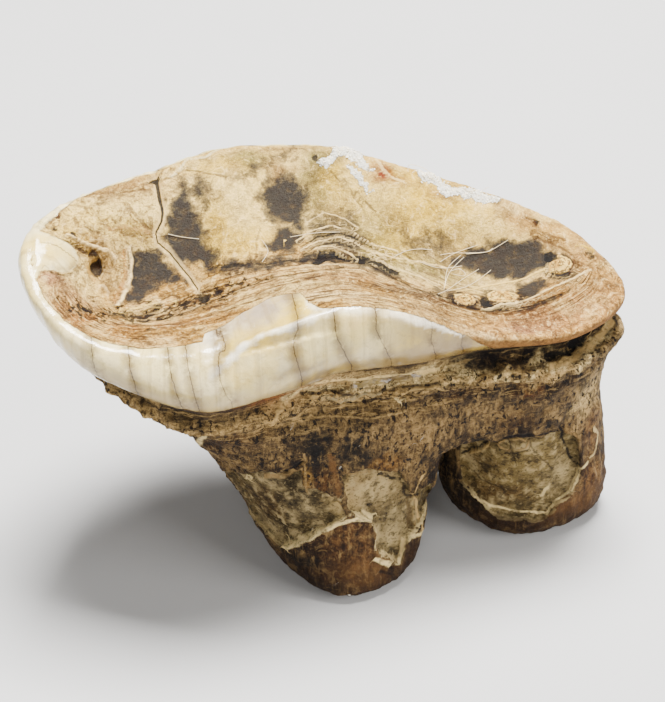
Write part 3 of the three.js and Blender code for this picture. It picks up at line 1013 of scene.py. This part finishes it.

# The second coat: enamel, and the dentine under the flaked cementum
# Painted shade: the enamel greyer and darker towards its lower edge
enamelLowShade = smoothStep(2.4, 0.2, -below)
paint(second, "enamelWarm", smoothStep(-0.2, 0.5, broad) * 0.5)
paint(second, "enamelGrey", enamelLowShade * 0.75 * offTop)
paint(second, "enamelGrey", smoothStep(1.0, 6.0, x) * 0.85)
paint(second, "enamelDark", enamelLowShade * smoothStep(-3.0, 6.0, x) * offTop * 0.5)
for (u, v), (wide, high), colour, strength in enamelZones:
    gap = (wobbled - onTooth(u, v)) / np.array([wide, max(wide, high), max(high, 0.6)])
    paint(second, colour, np.exp(-(gap ** 2).sum(1)) * strength)
# Partly a painted highlight, partly the enamel's own white worn edge: a pale line along the crest of the worn
# facet
paint(second, "enamelBright", smoothStep(0.42, 0.05, facetLowGap + ragged[0] * 0.3) * facetSpan * 0.8)
paint(second, "enamelBright", smoothStep(0.4, 0.1, np.abs(facetGap + 0.2)) * (x > -2) * onFacet * 0.5)
flakeEdge = exposed + wobble[0] * 0.12 + ragged[0] * 0.12
bare = exposed > -1.0
second[bare] = linear("olive")
paintZones(second, exposedZones, flankWobbled, onFlank, bare)
paint(second, "oliveYellow", bare * smoothStep(0.1, 0.5, speckled) * 0.7)
paint(second, "oliveDark", bare * smoothStep(0.1, 0.5, -speckled) * 0.6)
higher = exposedField(points + np.array([0, 0, 0.35]))
edgeShare = zero + 0.15
for place, half in edgeZones:
    edgeShare = np.maximum(edgeShare, zoneWeight(flank, onFlank([place])[0], half))
lowerEdge = smoothStep(0.02, 0.25, higher - exposed) * edgeShare
upperEdge = smoothStep(0.02, 0.25, exposed - higher)

# Signed distance to the hairlines, alternating so that it stays continuous from one to the next
hairline, farHairline = zero + 9, zero + 9
for i, pixels in enumerate(enamelCracks):
    line = onFlank(pixels)
    line = np.vstack([line[0] + (0, 3), line, line[-1] - (0, 3)])
    hairline = nearerSide(hairline, sideOfLine(flank, line) * (-1 if i % 2 else 1))
for i, crackX in enumerate(farCracks):
    sway = 0.25 * np.sin(z * 0.9 + crackX)
    farHairline = nearerSide(farHairline, (x - crackX - sway) * (1 if i % 2 else -1))
hairline = np.clip(np.where(y < 0, hairline, farHairline), -1, 1)

crackLine = onPlan(crackPixels)
crackSide = np.clip(sideOfLine(plan, crackLine), -1, 1)
crackReach = smoothStep(0.9, 0.4, lineDistance(plan, crackLine)) * top
crackOpen = smoothStep(3.0, 5.2, y)  # open towards the far rim

chalk = zero
for band, half in chalkBands:
    gap = lineDistance(planWobbled, onPlan(band))
    chalk = np.maximum(chalk, smoothStep(half * 1.8, half * 0.4, gap) * smoothStep(0.2, 0.6, top + wall))

noBead = 3.0
beadRing = np.min([ovalDistance(*bead) for bead in beads], axis=0)
beadRing = np.minimum(beadRing, noBead) + speckled * 0.35 + ragged[0] * 0.2
beadRing = np.where(top > 0.5, beadRing, noBead)
pits = np.max([smoothStep(1.25, 0.6, ovalDistance(*pit)) * top for pit in pitPixels], axis=0)
longPits = planZones(longPitZones, zero)

lineSide, lineHalf, lineShare, lineRise = zero + 2, zero + 0.1, zero, zero
lineTint = np.tile(linear("brown"), (len(points), 1))
lineSets = (
    (topLines, plan, onPlan, top),
    (sideLines, flank, onFlank, facing * offTop * smoothStep(-0.2, 0.2, below)),
)
for lines, chart, onChart, mask in lineSets:
    for pixels, half, colour, strength, rise in lines:
        gap = lineSigned(chart + np.stack(ragged, 1) * 0.10, onChart(pixels))
        closer = (np.abs(gap) < np.minimum(np.abs(lineSide), 1.0)) & (mask > 0.02)
        lineSide = np.where(closer, gap, lineSide)
        lineHalf = np.where(closer, half, lineHalf)
        lineShare = np.where(closer, strength * mask * smoothStep(0.6, 0.35, np.abs(gap)), lineShare)
        lineRise = np.where(closer, rise, lineRise)
        lineTint[closer] = linear(colour)

onRoot = smoothStep(0.3, 1.5, below) * offTop
pitted = onRoot * smoothStep(-0.3, 0.35, patchy * 0.8 + smoothStep(6, 11, z) - 0.55)
layered = smoothStep(0.8, 0.0, valleyDistance) * top * smoothStep(0.2, 0.8, inward)
layered = planZones(foldZones, layered * (1 - heelSide * smoothStep(2.6, 1.4, inward)))
exposedSoft = smoothStep(-0.12, 0.12, flakeEdge) * onRoot
calm = np.maximum.reduce([  # where the mottling is weaker
    farSlope * smoothStep(-12, -6, x) * 0.5,
    smoothStep(4.2, 3.0, z + patchy * 0.4) * 0.6,
    smoothStep(0, 4, y) * offTop * 0.4,
    crownWall * 0.3,
])
print("fossil molar: marks placed")

# Relief, in millimetres along the normal
relief = {
    "lumps": 0.12, "grain": 0.09, "fibres": 0.09, "ledgeRags": 0.42, "strata": 0.16, "lip": 0.34,
    "crevice": 0.36, "undercut": 0.3, "flakeDepth": 0.16, "flakeRim": 0.08, "ribs": 0.12, "ripples": 0.02,
    "facetDip": 0.28, "facetStep": 0.14, "lobe": 0.16, "crack": 0.5, "crackLips": 0.08, "chalk": 0.22,
    "layers": 0.05, "wrinkles": 0.07, "farRim": 0.2, "pits": 0.10, "hollows": 0.22, "longPits": 0.12,
    "beads": 0.10,
}


def rootRelief():
    height = broad * relief["lumps"] * (onRoot + 0.2 * top)
    height += speckled * relief["grain"] * onRoot * (1 - 0.3 * exposedSoft)
    height += cloud(points, 1.0, 13, 4, (1.8, 1.8, 0.4)) * relief["fibres"] * onRoot
    rags = cloud(points, 1.2, 14, 4, (1, 1, 1.6))
    rags = np.round(rags * 3) / 3 * 0.6 + rags * 0.4
    rags *= smoothStep(20.5, 17.5, x) * 0.75 + 0.25
    height += rags * relief["ledgeRags"] * ridge(below, 2.1, 1.1) * offTop * smoothStep(-5, -3, out)
    rim = below + wobble[1] * 0.35
    depth = offTop * smoothStep(-1.0, 0.6, below) * (0.55 + 0.45 * heelSide)
    height += ridge(rim, 2.05, 0.38) * relief["lip"] * depth
    height -= ridge(rim, 1.1, 0.42) * relief["crevice"] * depth
    height -= ridge(rim, 3.2, 0.6) * relief["undercut"] * depth
    strata = cloud(points, 1.0, 17, 4, (0.35, 0.35, 2.6))
    height += strata * relief["strata"] * smoothStep(0.3, 1.0, below) * smoothStep(5.0, 3.0, below) * offTop
    height -= exposedSoft * relief["flakeDepth"]
    return height + ridge(flakeEdge, -0.15, 0.15) * onRoot * relief["flakeRim"]


def enamelRelief():
    ribs = cloud(np.stack([np.cos(turn) * 9, np.sin(turn) * 9, z * 0.12], 1), 1.0, 25, 3)
    height = ribs * relief["ribs"] * smoothStep(-0.2, 0.5, enamelField) * offTop
    height += np.sin(turn * 40 + wobble[0]) * relief["ripples"] * smoothStep(0, 0.5, enamelField) * offTop
    facet = facetSpan * smoothStep(19.5, 20.5, z)
    dip = ridge(np.minimum(facetLowGap, 3), 1.0, 0.8) * (facetGap < 0.4) * (out < 0.6)
    height -= dip * relief["facetDip"] * facet
    height += ridge(facetLowGap, 0, 0.5) * relief["facetStep"] * facet
    lobeRise = np.where(z > enamel["lobeFoot"], smoothStep(-0.1, 0.35, lobe), 0)
    return height + lobeRise * relief["lobe"] * top


def wornRelief():
    height = cloud(points, 1.1, 18, 4) * relief["wrinkles"] * top
    for place, half, rise in swells:
        height += zoneWeight(plan, onPlan([place])[0], half) * rise * top
    gape = crackReach * (0.25 + 0.75 * crackOpen)
    height -= ridge(crackSide, 0, 0.10 + 0.10 * crackOpen) * gape * relief["crack"]
    height += ridge(np.abs(crackSide), 0.28, 0.12) * crackReach * relief["crackLips"]
    height += (0.5 + cloud(points, 0.5, 15, 4)) * relief["chalk"] * chalk
    ringPlace = np.stack([np.cos(turn) * 3, np.sin(turn) * 3, layer * 9], 1)
    height += cloud(ringPlace, 1.0, 16, 4) * relief["layers"] * layered
    height += smoothStep(1.1, 0.2, inward) * top * smoothStep(1, 3, y) * relief["farRim"]
    height -= pits * relief["pits"] + hollow * relief["hollows"]
    slots = smoothStep(0.15, 0.5, cloud(ringPlace * np.array([2.5, 2.5, 1]), 1.0, 19, 2))
    height -= longPits * slots * relief["longPits"]
    rings = 0.5 + np.cos(np.clip(beadRing, 0, 1.6) * 2 * math.pi) * 0.5
    return height + rings * relief["beads"] * smoothStep(1.6, 1.0, beadRing)


height = rootRelief() + enamelRelief() + wornRelief()
height += lineRise * ridge(lineSide, 0, lineHalf + 0.12) * (lineShare > 0)
shaped = points + normals * height[:, None]
spare = 0.2  # how far the relief may pass the solid's box
low, high = (np.array(c) / mm for c in cadBox)
shaped = np.clip(shaped, low - spare, high + spare)
shaped[:, 2] = np.maximum(shaped[:, 2], low[2])
for polygon in tooth.data.polygons:
    polygon.use_smooth = True
setPlaces(tooth.data, shaped * mm)


def storeNumber(name, array):
    attribute = tooth.data.attributes.new(name, "FLOAT", "POINT")
    attribute.data.foreach_set("value", np.ascontiguousarray(array, np.float32))


def storeColour(name, array):
    attribute = tooth.data.attributes.new(name, "FLOAT_COLOR", "POINT")
    rgba = np.concatenate([np.clip(array, 0, 1), np.ones((len(array), 1))], 1)
    attribute.data.foreach_set("color", rgba.astype(np.float32).ravel())


fields = {
    "enamelIn": enamelField, "bareIn": flakeEdge, "stain": stainField, "hairline": hairline,
    "crackSide": crackSide, "crackReach": crackReach, "crackOpen": crackOpen, "chalkIn": chalk,
    "beadRing": beadRing, "pitIn": pits, "pitted": pitted, "layered": layered, "layer": layer,
    "turnX": np.cos(turn), "turnY": np.sin(turn), "calm": calm, "onTop": top, "onRoot": onRoot,
    "recess": recess, "longPitIn": longPits, "hollow": hollow, "lowerEdge": lowerEdge, "upperEdge": upperEdge,
    "lineSide": lineSide, "lineHalf": lineHalf, "lineShare": lineShare, "lineRise": lineRise,
    "neck": smoothStep(0.2, 0.9, below) * smoothStep(5.5, 3.0, below) * offTop,
}
for name, array in fields.items():
    storeNumber(name, array)
for name, array in (("tint", tint), ("second", second), ("lineTint", lineTint)):
    storeColour(name, array)
print("fossil molar: relief and fields stored,", len(tooth.data.polygons), "faces")


# Materials, written as arithmetic on sockets

def flat(name):
    return (*linear(name), 1)


class Wire:
    def __init__(self, finish, socket):
        self.finish, self.socket = finish, socket

    def __add__(self, other):
        return self.finish.math("ADD", self, other)

    def __mul__(self, other):
        return self.finish.math("MULTIPLY", self, other)

    def __sub__(self, other):
        return self.finish.math("SUBTRACT", self, other)

    def __rsub__(self, other):
        return self.finish.math("SUBTRACT", other, self)

    def __truediv__(self, other):
        return self.finish.math("DIVIDE", self, other)

    def __rtruediv__(self, other):
        return self.finish.math("DIVIDE", other, self)

    __radd__ = __add__
    __rmul__ = __mul__


class Finish:
    def __init__(self, name):
        self.material = bpy.data.materials.new(name)
        self.material.use_nodes = True
        self.tree = self.material.node_tree
        self.tree.nodes.clear()

    def make(self, kind, settings=None, values=None, out=0):
        node = self.tree.nodes.new("ShaderNode" + kind)
        for key, value in (settings or {}).items():
            setattr(node, key, value)
        for key, value in (values or {}).items():
            if isinstance(value, Wire):
                self.tree.links.new(value.socket, node.inputs[key])
            else:
                node.inputs[key].default_value = value
        return Wire(self, node.outputs[out] if len(node.outputs) else None)

    def math(self, operation, *values):
        return self.make("Math", {"operation": operation}, dict(enumerate(values)))

    def size(self, value):
        return self.math("ABSOLUTE", value)

    def number(self, name):
        return self.make("Attribute", {"attribute_name": name}, out="Fac")

    def colour(self, name):
        return self.make("Attribute", {"attribute_name": name}, out="Color")

    def ramp(self, value, low, high):  # 0 at low to 1 at high, smooth
        values = {"Value": value, "From Min": low, "From Max": high}
        return self.make("MapRange", {"interpolation_type": "SMOOTHSTEP"}, values)

    def mix(self, share, a, b, blend="MIX"):
        settings = {"data_type": "RGBA", "blend_type": blend, "clamp_factor": True}
        return self.make("Mix", settings, {0: share, 6: a, 7: b}, out=2)

    def mixNumber(self, share, a, b):
        return self.make("Mix", {"data_type": "FLOAT"}, {0: share, 2: a, 3: b})

    def coat(self, base, colour, share):  # a palette colour, or one made here, over the base
        return self.mix(share, base, flat(colour) if isinstance(colour, str) else colour)

    def coats(self, base, *rows):  # several, each where its noise runs from low to high
        for colour, wave, low, high, share in rows:
            base = self.coat(base, colour, self.ramp(wave, low, high) * share)
        return base

    def noise(self, place, scale, detail=4.0, rough=0.6, distortion=0.0):
        values = {"Vector": place, "Scale": scale, "Detail": detail, "Roughness": rough}
        return self.make("TexNoise", None, {**values, "Distortion": distortion})

    def stretched(self, place, factors):
        return self.make("VectorMath", {"operation": "MULTIPLY"}, {0: place, 1: factors})

    def place(self):  # in millimetres
        return self.stretched(self.make("TexCoord", out="Object"), (1 / mm, 1 / mm, 1 / mm))

    def vector(self, x, y, z):
        return self.make("CombineXYZ", None, {0: x, 1: y, 2: z})

    def shade(self, values):
        shader = self.make("BsdfPrincipled", None, values, out="BSDF")
        self.make("OutputMaterial", None, {"Surface": shader})
        return self.material


def toothFinish():
    f = Finish("fossil tooth")
    place = f.place()
    at = SimpleNamespace(**{name: f.number(name) for name in fields})
    coarse = f.noise(place, 0.55, 5, 0.6)
    middle = f.noise(place, 1.8, 6, 0.65)
    fine = f.noise(place, 6.0, 5, 0.7)
    tiny = f.noise(place, 16.0, 3, 0.6)
    streaky = f.noise(place, 1.2, 7, 0.7, 1.6)
    middleSway, fineSway = middle - 0.5, fine - 0.5
    lively = 1 - at.calm

    # Base coat with mottling
    base = f.colour("tint")
    deep = f.mix(1.0, base, (0.2, 0.16, 0.115, 1), "MULTIPLY")
    base = f.coats(
        base,
        (deep, streaky, 0.48, 0.62, lively * 0.8),
        (deep, middle, 0.5, 0.6, lively * 0.5),
        (deep, fine, 0.52, 0.64, lively * 0.7),
        (deep, tiny, 0.52, 0.66, 0.45),
        ("pale", streaky, 0.46, 0.36, at.onTop * 0.5),
        ("pale", fine, 0.46, 0.32, at.onTop * 0.45),
        ("rootTan", streaky, 0.47, 0.36, at.onRoot * lively * 0.4),
    )

    # Veins and thin lines wandering over the chewing surface
    patches = f.ramp(coarse, 0.42, 0.55)
    for scale, strength, width in ((0.8, 0.75, 0.008), (1.7, 0.6, 0.01)):
        vein = 1 - f.ramp(f.size(f.noise(place, scale, 7, 0.72, 1.4) - 0.5), 0.0, width)
        base = f.coat(base, "stainBrown", vein * at.onTop * patches * strength)

    # Growth layers along the near rim
    layers = f.noise(f.vector(at.turnX * 5, at.turnY * 5, at.layer * 34), 1.0, 6, 0.7, 0.5)
    base = f.coats(
        base,
        ("brown", layers, 0.5, 0.6, at.layered * 0.8),
        ("darkBrown", layers, 0.58, 0.64, at.layered * 0.7),
        ("pale", layers, 0.46, 0.38, at.layered * 0.4),
    )
    longPits = f.noise(f.vector(at.turnX * 22, at.turnY * 22, at.layer * 22), 1.0, 4, 0.6)
    longPitMask = f.ramp(longPits + at.longPitIn * 0.16, 0.6, 0.68) * f.ramp(at.longPitIn, 0.05, 0.3)
    base = f.coat(base, "darkBrown", longPitMask * 0.92)

    # Dark stains, mottled at their borders
    stainEdge = at.stain + middleSway * 0.8 + (streaky - 0.5) * 0.7 + fineSway * 0.4
    stainColour = f.coats(
        flat("stain"),
        ("stainBrown", streaky, 0.5, 0.64, 0.2),
        ("greyBrown", middle, 0.5, 0.4, 0.3),
        ("black", fine, 0.52, 0.64, 0.5),
    )
    base = f.coats(
        base,
        ("stainBrown", stainEdge, 0.12, 0.5, 0.4),
        (stainColour, stainEdge, 0.05, 0.98, 0.98),
    )

    # Pitted, fibrous cementum on the roots
    fibres = f.noise(f.stretched(place, (2.6, 2.6, 0.55)), 1.0, 6, 0.7)
    blotches = f.noise(place, 0.9, 6, 0.7, 0.8)
    strata = f.noise(f.stretched(place, (0.5, 0.5, 4.2)), 1.0, 6, 0.72, 0.4)
    fibrous = at.onRoot * lively
    base = f.coats(
        base,
        ("darkBrown", fibres, 0.5, 0.62, fibrous * 0.65),
        ("rootTan", fibres, 0.46, 0.34, fibrous * 0.5),
        ("black", blotches, 0.52, 0.62, fibrous * 0.55),
        ("rootTan", blotches, 0.46, 0.36, fibrous * 0.35),
        ("darkBrown", strata, 0.51, 0.62, at.neck * 0.6),
        ("ledge", strata, 0.47, 0.37, at.neck * 0.5),
    )
    holes = f.ramp(f.noise(f.stretched(place, (1, 1, 0.7)), 3.0, 4, 0.6, 0.6), 0.56, 0.62)
    base = f.coat(base, "black", holes * at.pitted * 0.92)
    # Painted shade: black patches in the shaded recess under the enamel's edge
    base = f.coats(base, ("black", middle, 0.36, 0.6, at.recess * 0.6))

    # Beads of secondary dentine: rings round a pale middle, in a dark halo
    ringWave = f.math("SINE", (at.beadRing + middleSway * 1.5 + fineSway * 0.8) * 11)
    beadColour = f.mix(f.ramp(streaky, 0.44, 0.56), flat("tan"), flat("beadPale"))
    beadColour = f.coats(beadColour, ("stainBrown", ringWave, 0.3, 0.98, 0.9))
    base = f.coats(base, (beadColour, at.beadRing + middleSway * 0.7, 1.2, 1.0, 0.9))
    halo = f.ramp(at.beadRing + middleSway * 0.6, 1.05, 1.25) * f.ramp(at.beadRing, 1.9, 1.35)
    base = f.coats(base, ("darkBrown", streaky, 0.36, 0.5, halo * 0.9))

    # Pits and hollows
    base = f.coats(
        base,
        ("darkBrown", at.pitIn + fineSway * 0.5, 0.25, 0.7, 0.92),
        ("black", at.hollow + fineSway * 0.5, 0.35, 0.6, 0.94),
    )

    # Thin lines: folds, steps and cracks
    lineGap = f.size(at.lineSide + fineSway * 0.14 + middleSway * 0.1)
    lineMask = f.ramp(lineGap / at.lineHalf, 1.2, 0.45) * at.lineShare
    lineMask = lineMask * (f.ramp(middle, 0.36, 0.52) * 0.7 + 0.3)
    lineColour = f.colour("lineTint")
    base = f.coat(base, lineColour, lineMask)

    # The long crack, black where it gapes, with pale lips
    crackGap = f.size(at.crackSide + fineSway * 0.12)
    base = f.coats(base, ("pale", crackGap, 0.36, 0.15, at.crackReach * 0.45))
    crackMask = f.ramp(crackGap - (at.crackOpen * 0.08 + 0.03), 0.03, -0.02) * at.crackReach
    base = f.coat(base, "black", crackMask * 0.96)

    # Enamel over the base coat, with its hairlines
    enamelMask = f.ramp(at.enamelIn + middleSway * 0.35 + fineSway * 0.22, -0.04, 0.05)
    second = f.colour("second")
    banding = f.noise(f.vector(at.turnX * 22, at.turnY * 22, at.layer * 1.5), 1.0, 4, 0.6)
    hair = f.size(at.hairline + fineSway * 0.12 + middleSway * 0.24)
    hairBreaks = f.ramp(coarse, 0.36, 0.5)
    hairMask = f.ramp(hair, 0.05, 0.012)
    enamelColour = f.coats(
        second,
        ("enamelGrey", banding, 0.47, 0.64, 0.35),
        ("enamelYellow", coarse, 0.48, 0.62, 0.22),
        ("enamelGrey", streaky, 0.5, 0.66, 0.3),
        ("enamelGrey", fine, 0.55, 0.8, 0.25),
        ("enamelDark", hair, 0.8, 0.02, hairBreaks * 0.65),
    )
    enamelColour = f.coat(enamelColour, "stainBrown", hairMask * 0.75 * (hairBreaks * 0.6 + 0.4))
    base = f.coat(base, enamelColour, enamelMask)

    # Bare dentine where the cementum has flaked off, pale along its lower edge, with painted shadow along its
    # upper one under the cementum's overhang
    bareEdge = at.bareIn + fineSway * 0.25 + middleSway * 0.25
    bareMask = f.ramp(bareEdge, -0.03, 0.05) * at.onRoot
    scaly = f.noise(f.stretched(place, (1.2, 1.2, 2.0)), 2.2, 6, 0.75, 0.5)
    bareColour = f.coats(
        second,
        ("black", scaly, 0.5, 0.62, 0.75),
        ("oliveYellow", scaly, 0.46, 0.34, 0.55),
    )
    base = f.coat(base, f.coat(bareColour, lineColour, lineMask), bareMask)
    rimBreaks = f.ramp(middle, 0.34, 0.5)
    lowRim = f.ramp(f.size(bareEdge + 0.02), 0.16, 0.08) * at.onRoot * at.lowerEdge * rimBreaks
    # Painted shadow: a black line along each flake's upper edge
    highRimShadow = f.ramp(f.size(bareEdge - 0.06), 0.16, 0.04) * at.onRoot * at.upperEdge
    base = f.coat(base, "brokenEdge", lowRim * 0.95)
    base = f.coat(base, "black", highRimShadow * 0.8)

    # White chalky crust
    chalkMask = f.ramp(at.chalkIn + middleSway * 1.3 + fineSway * 0.9, 0.5, 0.62)
    base = f.coat(base, "chalk", chalkMask * 0.95)

    # Sheen and small relief
    rough = f.mixNumber(enamelMask, 0.78 - at.onTop * 0.28 + fineSway * 0.5, middleSway * 0.2 + 0.18)
    rough = f.mixNumber(chalkMask, rough, 0.9)
    soft = 1 - enamelMask
    height = (fine * 0.16 + tiny * 0.06) * soft + layers * at.layered * 0.14 * soft
    height = height + fibres * at.onRoot * 0.12 + strata * at.neck * 0.2 + scaly * bareMask * 0.16
    height = height + lowRim * 0.08 - highRimShadow * 0.12 - holes * at.pitted * 0.16 - longPitMask * 0.12
    height = height - crackMask * 0.2 - hairMask * enamelMask * 0.03 + lineMask * at.lineRise * 1.2
    height = height + chalkMask * (fine * 0.16 + 0.06) + middle * 0.06
    bump = f.make("Bump", None, {"Strength": 1.0, "Distance": mm, "Height": height})
    return f.shade({"Base Color": base, "Roughness": rough, "Normal": bump, "Coat Weight": enamelMask * 0.7,
                    "Coat Roughness": 0.12, "Specular IOR Level": 0.22})


tooth.data.materials.append(toothFinish())
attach(tooth, "root")
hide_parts("molar")
print("fossil molar: tooth finished")


# Pieces grown with Geometry Nodes

def growthGroup(name, inputs):  # a node group, and the identifiers of its inputs
    group = bpy.data.node_groups.new(name, "GeometryNodeTree")
    names = {}
    for key, kind in inputs.items():
        socket = group.interface.new_socket(key, in_out="INPUT", socket_type="NodeSocket" + kind)
        names[key] = socket.identifier
    group.interface.new_socket("Geometry", in_out="OUTPUT", socket_type="NodeSocketGeometry")
    return group, names


def addNode(group, kind, values=None, **settings):  # the new node's outputs
    node = group.nodes.new(kind)
    for key, value in settings.items():
        setattr(node, key, value)
    for key, value in (values or {}).items():
        if isinstance(value, bpy.types.NodeSocket):
            group.links.new(value, node.inputs[key])
        else:
            node.inputs[key].default_value = value
    return node.outputs


def leaveGroup(group, geometry, finish):
    real = addNode(group, "GeometryNodeRealizeInstances", {"Geometry": geometry})
    painted = addNode(group, "GeometryNodeSetMaterial", {"Geometry": real["Geometry"], "Material": finish})
    addNode(group, "NodeGroupOutput", {"Geometry": painted["Geometry"]})


def growPiece(name, mesh, group, names, values):
    piece = bpy.data.objects.new(name, mesh)
    bpy.context.scene.collection.objects.link(piece)
    modifier = piece.modifiers.new(name, "NODES")
    modifier.node_group = group
    for key, value in values.items():
        modifier[names[key]] = value
    evaluated = piece.evaluated_get(bpy.context.evaluated_depsgraph_get())
    made = bpy.data.meshes.new_from_object(evaluated)
    piece.modifiers.clear()
    piece.data = made
    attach(piece, "root")
    print("fossil molar:", name, len(made.polygons), "faces")


# Crumbs of the white crust, scattered over it

crumbs = {"Density": 26e6, "Size": 0.00009, "Seed": 4}
crumbShape = {"least": (0.4, 0.5, 0.3), "most": (1.5, 1.1, 0.8), "turn": (6.28, 6.28, 6.28), "rounds": 2,
              "from": 0.45, "full": 0.95}


def crumbFinish():
    f = Finish("white crust")
    colour = f.coats(flat("chalk"), ("pale", f.noise(f.place(), 5.0), 0.4, 0.7, 0.4))
    return f.shade({"Base Color": colour, "Roughness": 0.9})


def makeCrumbs():
    inputs = {"Geometry": "Geometry", "Density": "Float", "Size": "Float", "Seed": "Int"}
    group, names = growthGroup("crumbs", inputs)
    enter = addNode(group, "NodeGroupInput")
    seed = enter["Seed"]
    crust = addNode(group, "GeometryNodeInputNamedAttribute", {"Name": "chalkIn"}, data_type="FLOAT")
    thick = {"Value": crust["Attribute"], "From Min": crumbShape["from"], "From Max": crumbShape["full"]}
    onThick = {0: addNode(group, "ShaderNodeMapRange", thick)["Result"], 1: enter["Density"]}
    density = addNode(group, "ShaderNodeMath", onThick, operation="MULTIPLY")
    scattering = {"Mesh": enter["Geometry"], "Density": density["Value"], "Seed": seed}
    scattered = addNode(group, "GeometryNodeDistributePointsOnFaces", scattering)
    ball = addNode(group, "GeometryNodeMeshIcoSphere", {"Radius": 1.0, "Subdivisions": crumbShape["rounds"]})
    shapes = {0: crumbShape["least"], 1: crumbShape["most"], "Seed": seed}
    spread = addNode(group, "FunctionNodeRandomValue", shapes, data_type="FLOAT_VECTOR")
    turns = {1: crumbShape["turn"], "Seed": seed}
    spin = addNode(group, "FunctionNodeRandomValue", turns, data_type="FLOAT_VECTOR")
    sizes = {0: spread["Value"], "Scale": enter["Size"]}
    scaled = addNode(group, "ShaderNodeVectorMath", sizes, operation="SCALE")
    placing = {"Points": scattered["Points"], "Instance": ball["Mesh"], "Rotation": spin["Value"],
               "Scale": scaled["Vector"]}
    placed = addNode(group, "GeometryNodeInstanceOnPoints", placing)
    leaveGroup(group, placed["Instances"], crumbFinish())
    growPiece("chalk-crumbs", tooth.data.copy(), group, names, crumbs)


makeCrumbs()


# Hair-fine fibres stuck to the worn surface and the far rim: tubes along paths

fibres = {"thickness": 0.000017, "lift": 0.05, "steps": 8, "sides": 6}
fibrePaths = marks("""
440,262 455,253 478,245
466,254 486,252 495,248 508,240
444,289 447,278 452,269 464,257
438,294 447,290 463,279 479,269
447,291 465,287 478,280 491,270
451,271 459,269 465,273 463,276 453,274
440,255 454,253 469,253 486,252 493,248
461,255 448,268 445,286
394,257 406,251 420,249 432,250
420,262 440,268 462,266
168,234 182,237 199,239
290,237 315,233 340,232
408,172 409,165 418,166 427,170 433,177
412,173 418,170 426,174 435,181
422,176 430,172 437,178 441,186
480,195 483,190 489,187
452,191 460,187 468,191 476,190
262,240 268,251 262,262
""")


def fibreLine(pixels):  # on the tooth where the picture shows it, standing free where it leaves the rim
    origin = Vector(cameraPlace())
    depth = (Vector(onTooth(*pixels[0])) - origin).length
    places = []
    for u, v in openSpline(pixels, fibres["steps"]):
        along = Vector(pixelRay(u, v))
        hit = tree.ray_cast(origin, along)[0]
        if hit is not None:
            depth = (hit - origin).length
        places.append(origin + along * (depth - fibres["lift"]))
    return places


def fibreFinish():
    f = Finish("pale fibre")
    colour = f.mix(f.noise(f.place(), 2.0), flat("beadPale"), flat("chalk"))
    return f.shade({"Base Color": colour, "Roughness": 0.55})


def makeFibres():
    places, ties = [], []
    for pixels in fibrePaths:
        line = fibreLine(pixels)
        first = len(places)
        ties += [(k, k + 1) for k in range(first, first + len(line) - 1)]
        places += [tuple(p * mm) for p in line]
    mesh = bpy.data.meshes.new("lint-fibres")
    mesh.from_pydata(places, ties, [])
    group, names = growthGroup("fibres", {"Geometry": "Geometry", "Thickness": "Float"})
    enter = addNode(group, "NodeGroupInput")
    paths = addNode(group, "GeometryNodeMeshToCurve", {"Mesh": enter["Geometry"]})
    ring = {"Resolution": fibres["sides"], "Radius": enter["Thickness"]}
    section = addNode(group, "GeometryNodeCurvePrimitiveCircle", ring)
    sweep = {"Curve": paths["Curve"], "Profile Curve": section["Curve"], "Fill Caps": True}
    leaveGroup(group, addNode(group, "GeometryNodeCurveToMesh", sweep)["Mesh"], fibreFinish())
    growPiece("lint-fibres", mesh, group, names, {"Thickness": fibres["thickness"]})


tree = BVHTree.FromPolygons([Vector(p) for p in shaped], faces)
makeFibres()


# Stage: pale floor, soft studio light

stage = {"size": 1.2, "colour": (0.50, 0.49, 0.475, 1), "speck": (0.53, 0.52, 0.505, 1), "specks": 60}


def makeFloor():
    bpy.ops.mesh.primitive_plane_add(size=stage["size"], location=(0, 0, 0))
    floor = bpy.context.object
    floor.name = "floor"
    f = Finish("pale floor")
    speck = f.noise(f.make("TexCoord", out="Object"), stage["specks"], 3, 0.6)
    colour = f.mix(speck, stage["colour"], stage["speck"])
    floor.data.materials.append(f.shade({"Base Color": colour, "Roughness": 0.85}))


lights = {
    "key": {"place": (0.03, 0.07, 0.30), "size": 0.13, "power": 5.0},
    "fill": {"place": (0.26, -0.16, 0.15), "size": 0.2, "power": 1.1},
    "front": {"place": (-0.08, -0.28, 0.16), "size": 0.2, "power": 0.5},
}
aimPlace = Vector((0, 0, 0.014))
room = {"colour": (0.8, 0.82, 0.86, 1), "strength": 0.16}


def makeLights():
    for name, light in lights.items():
        data = bpy.data.lights.new(name, "AREA")
        data.size = light["size"]
        data.energy = light["power"]
        lamp = bpy.data.objects.new(name, data)
        bpy.context.scene.collection.objects.link(lamp)
        lamp.location = light["place"]
        lamp.rotation_mode = "QUATERNION"
        lamp.rotation_quaternion = (aimPlace - Vector(light["place"])).to_track_quat("-Z", "Y")
    world = bpy.data.worlds.new("soft room")
    world.use_nodes = True
    background = world.node_tree.nodes["Background"]
    background.inputs["Color"].default_value = room["colour"]
    background.inputs["Strength"].default_value = room["strength"]
    bpy.context.scene.world = world


makeFloor()
makeLights()
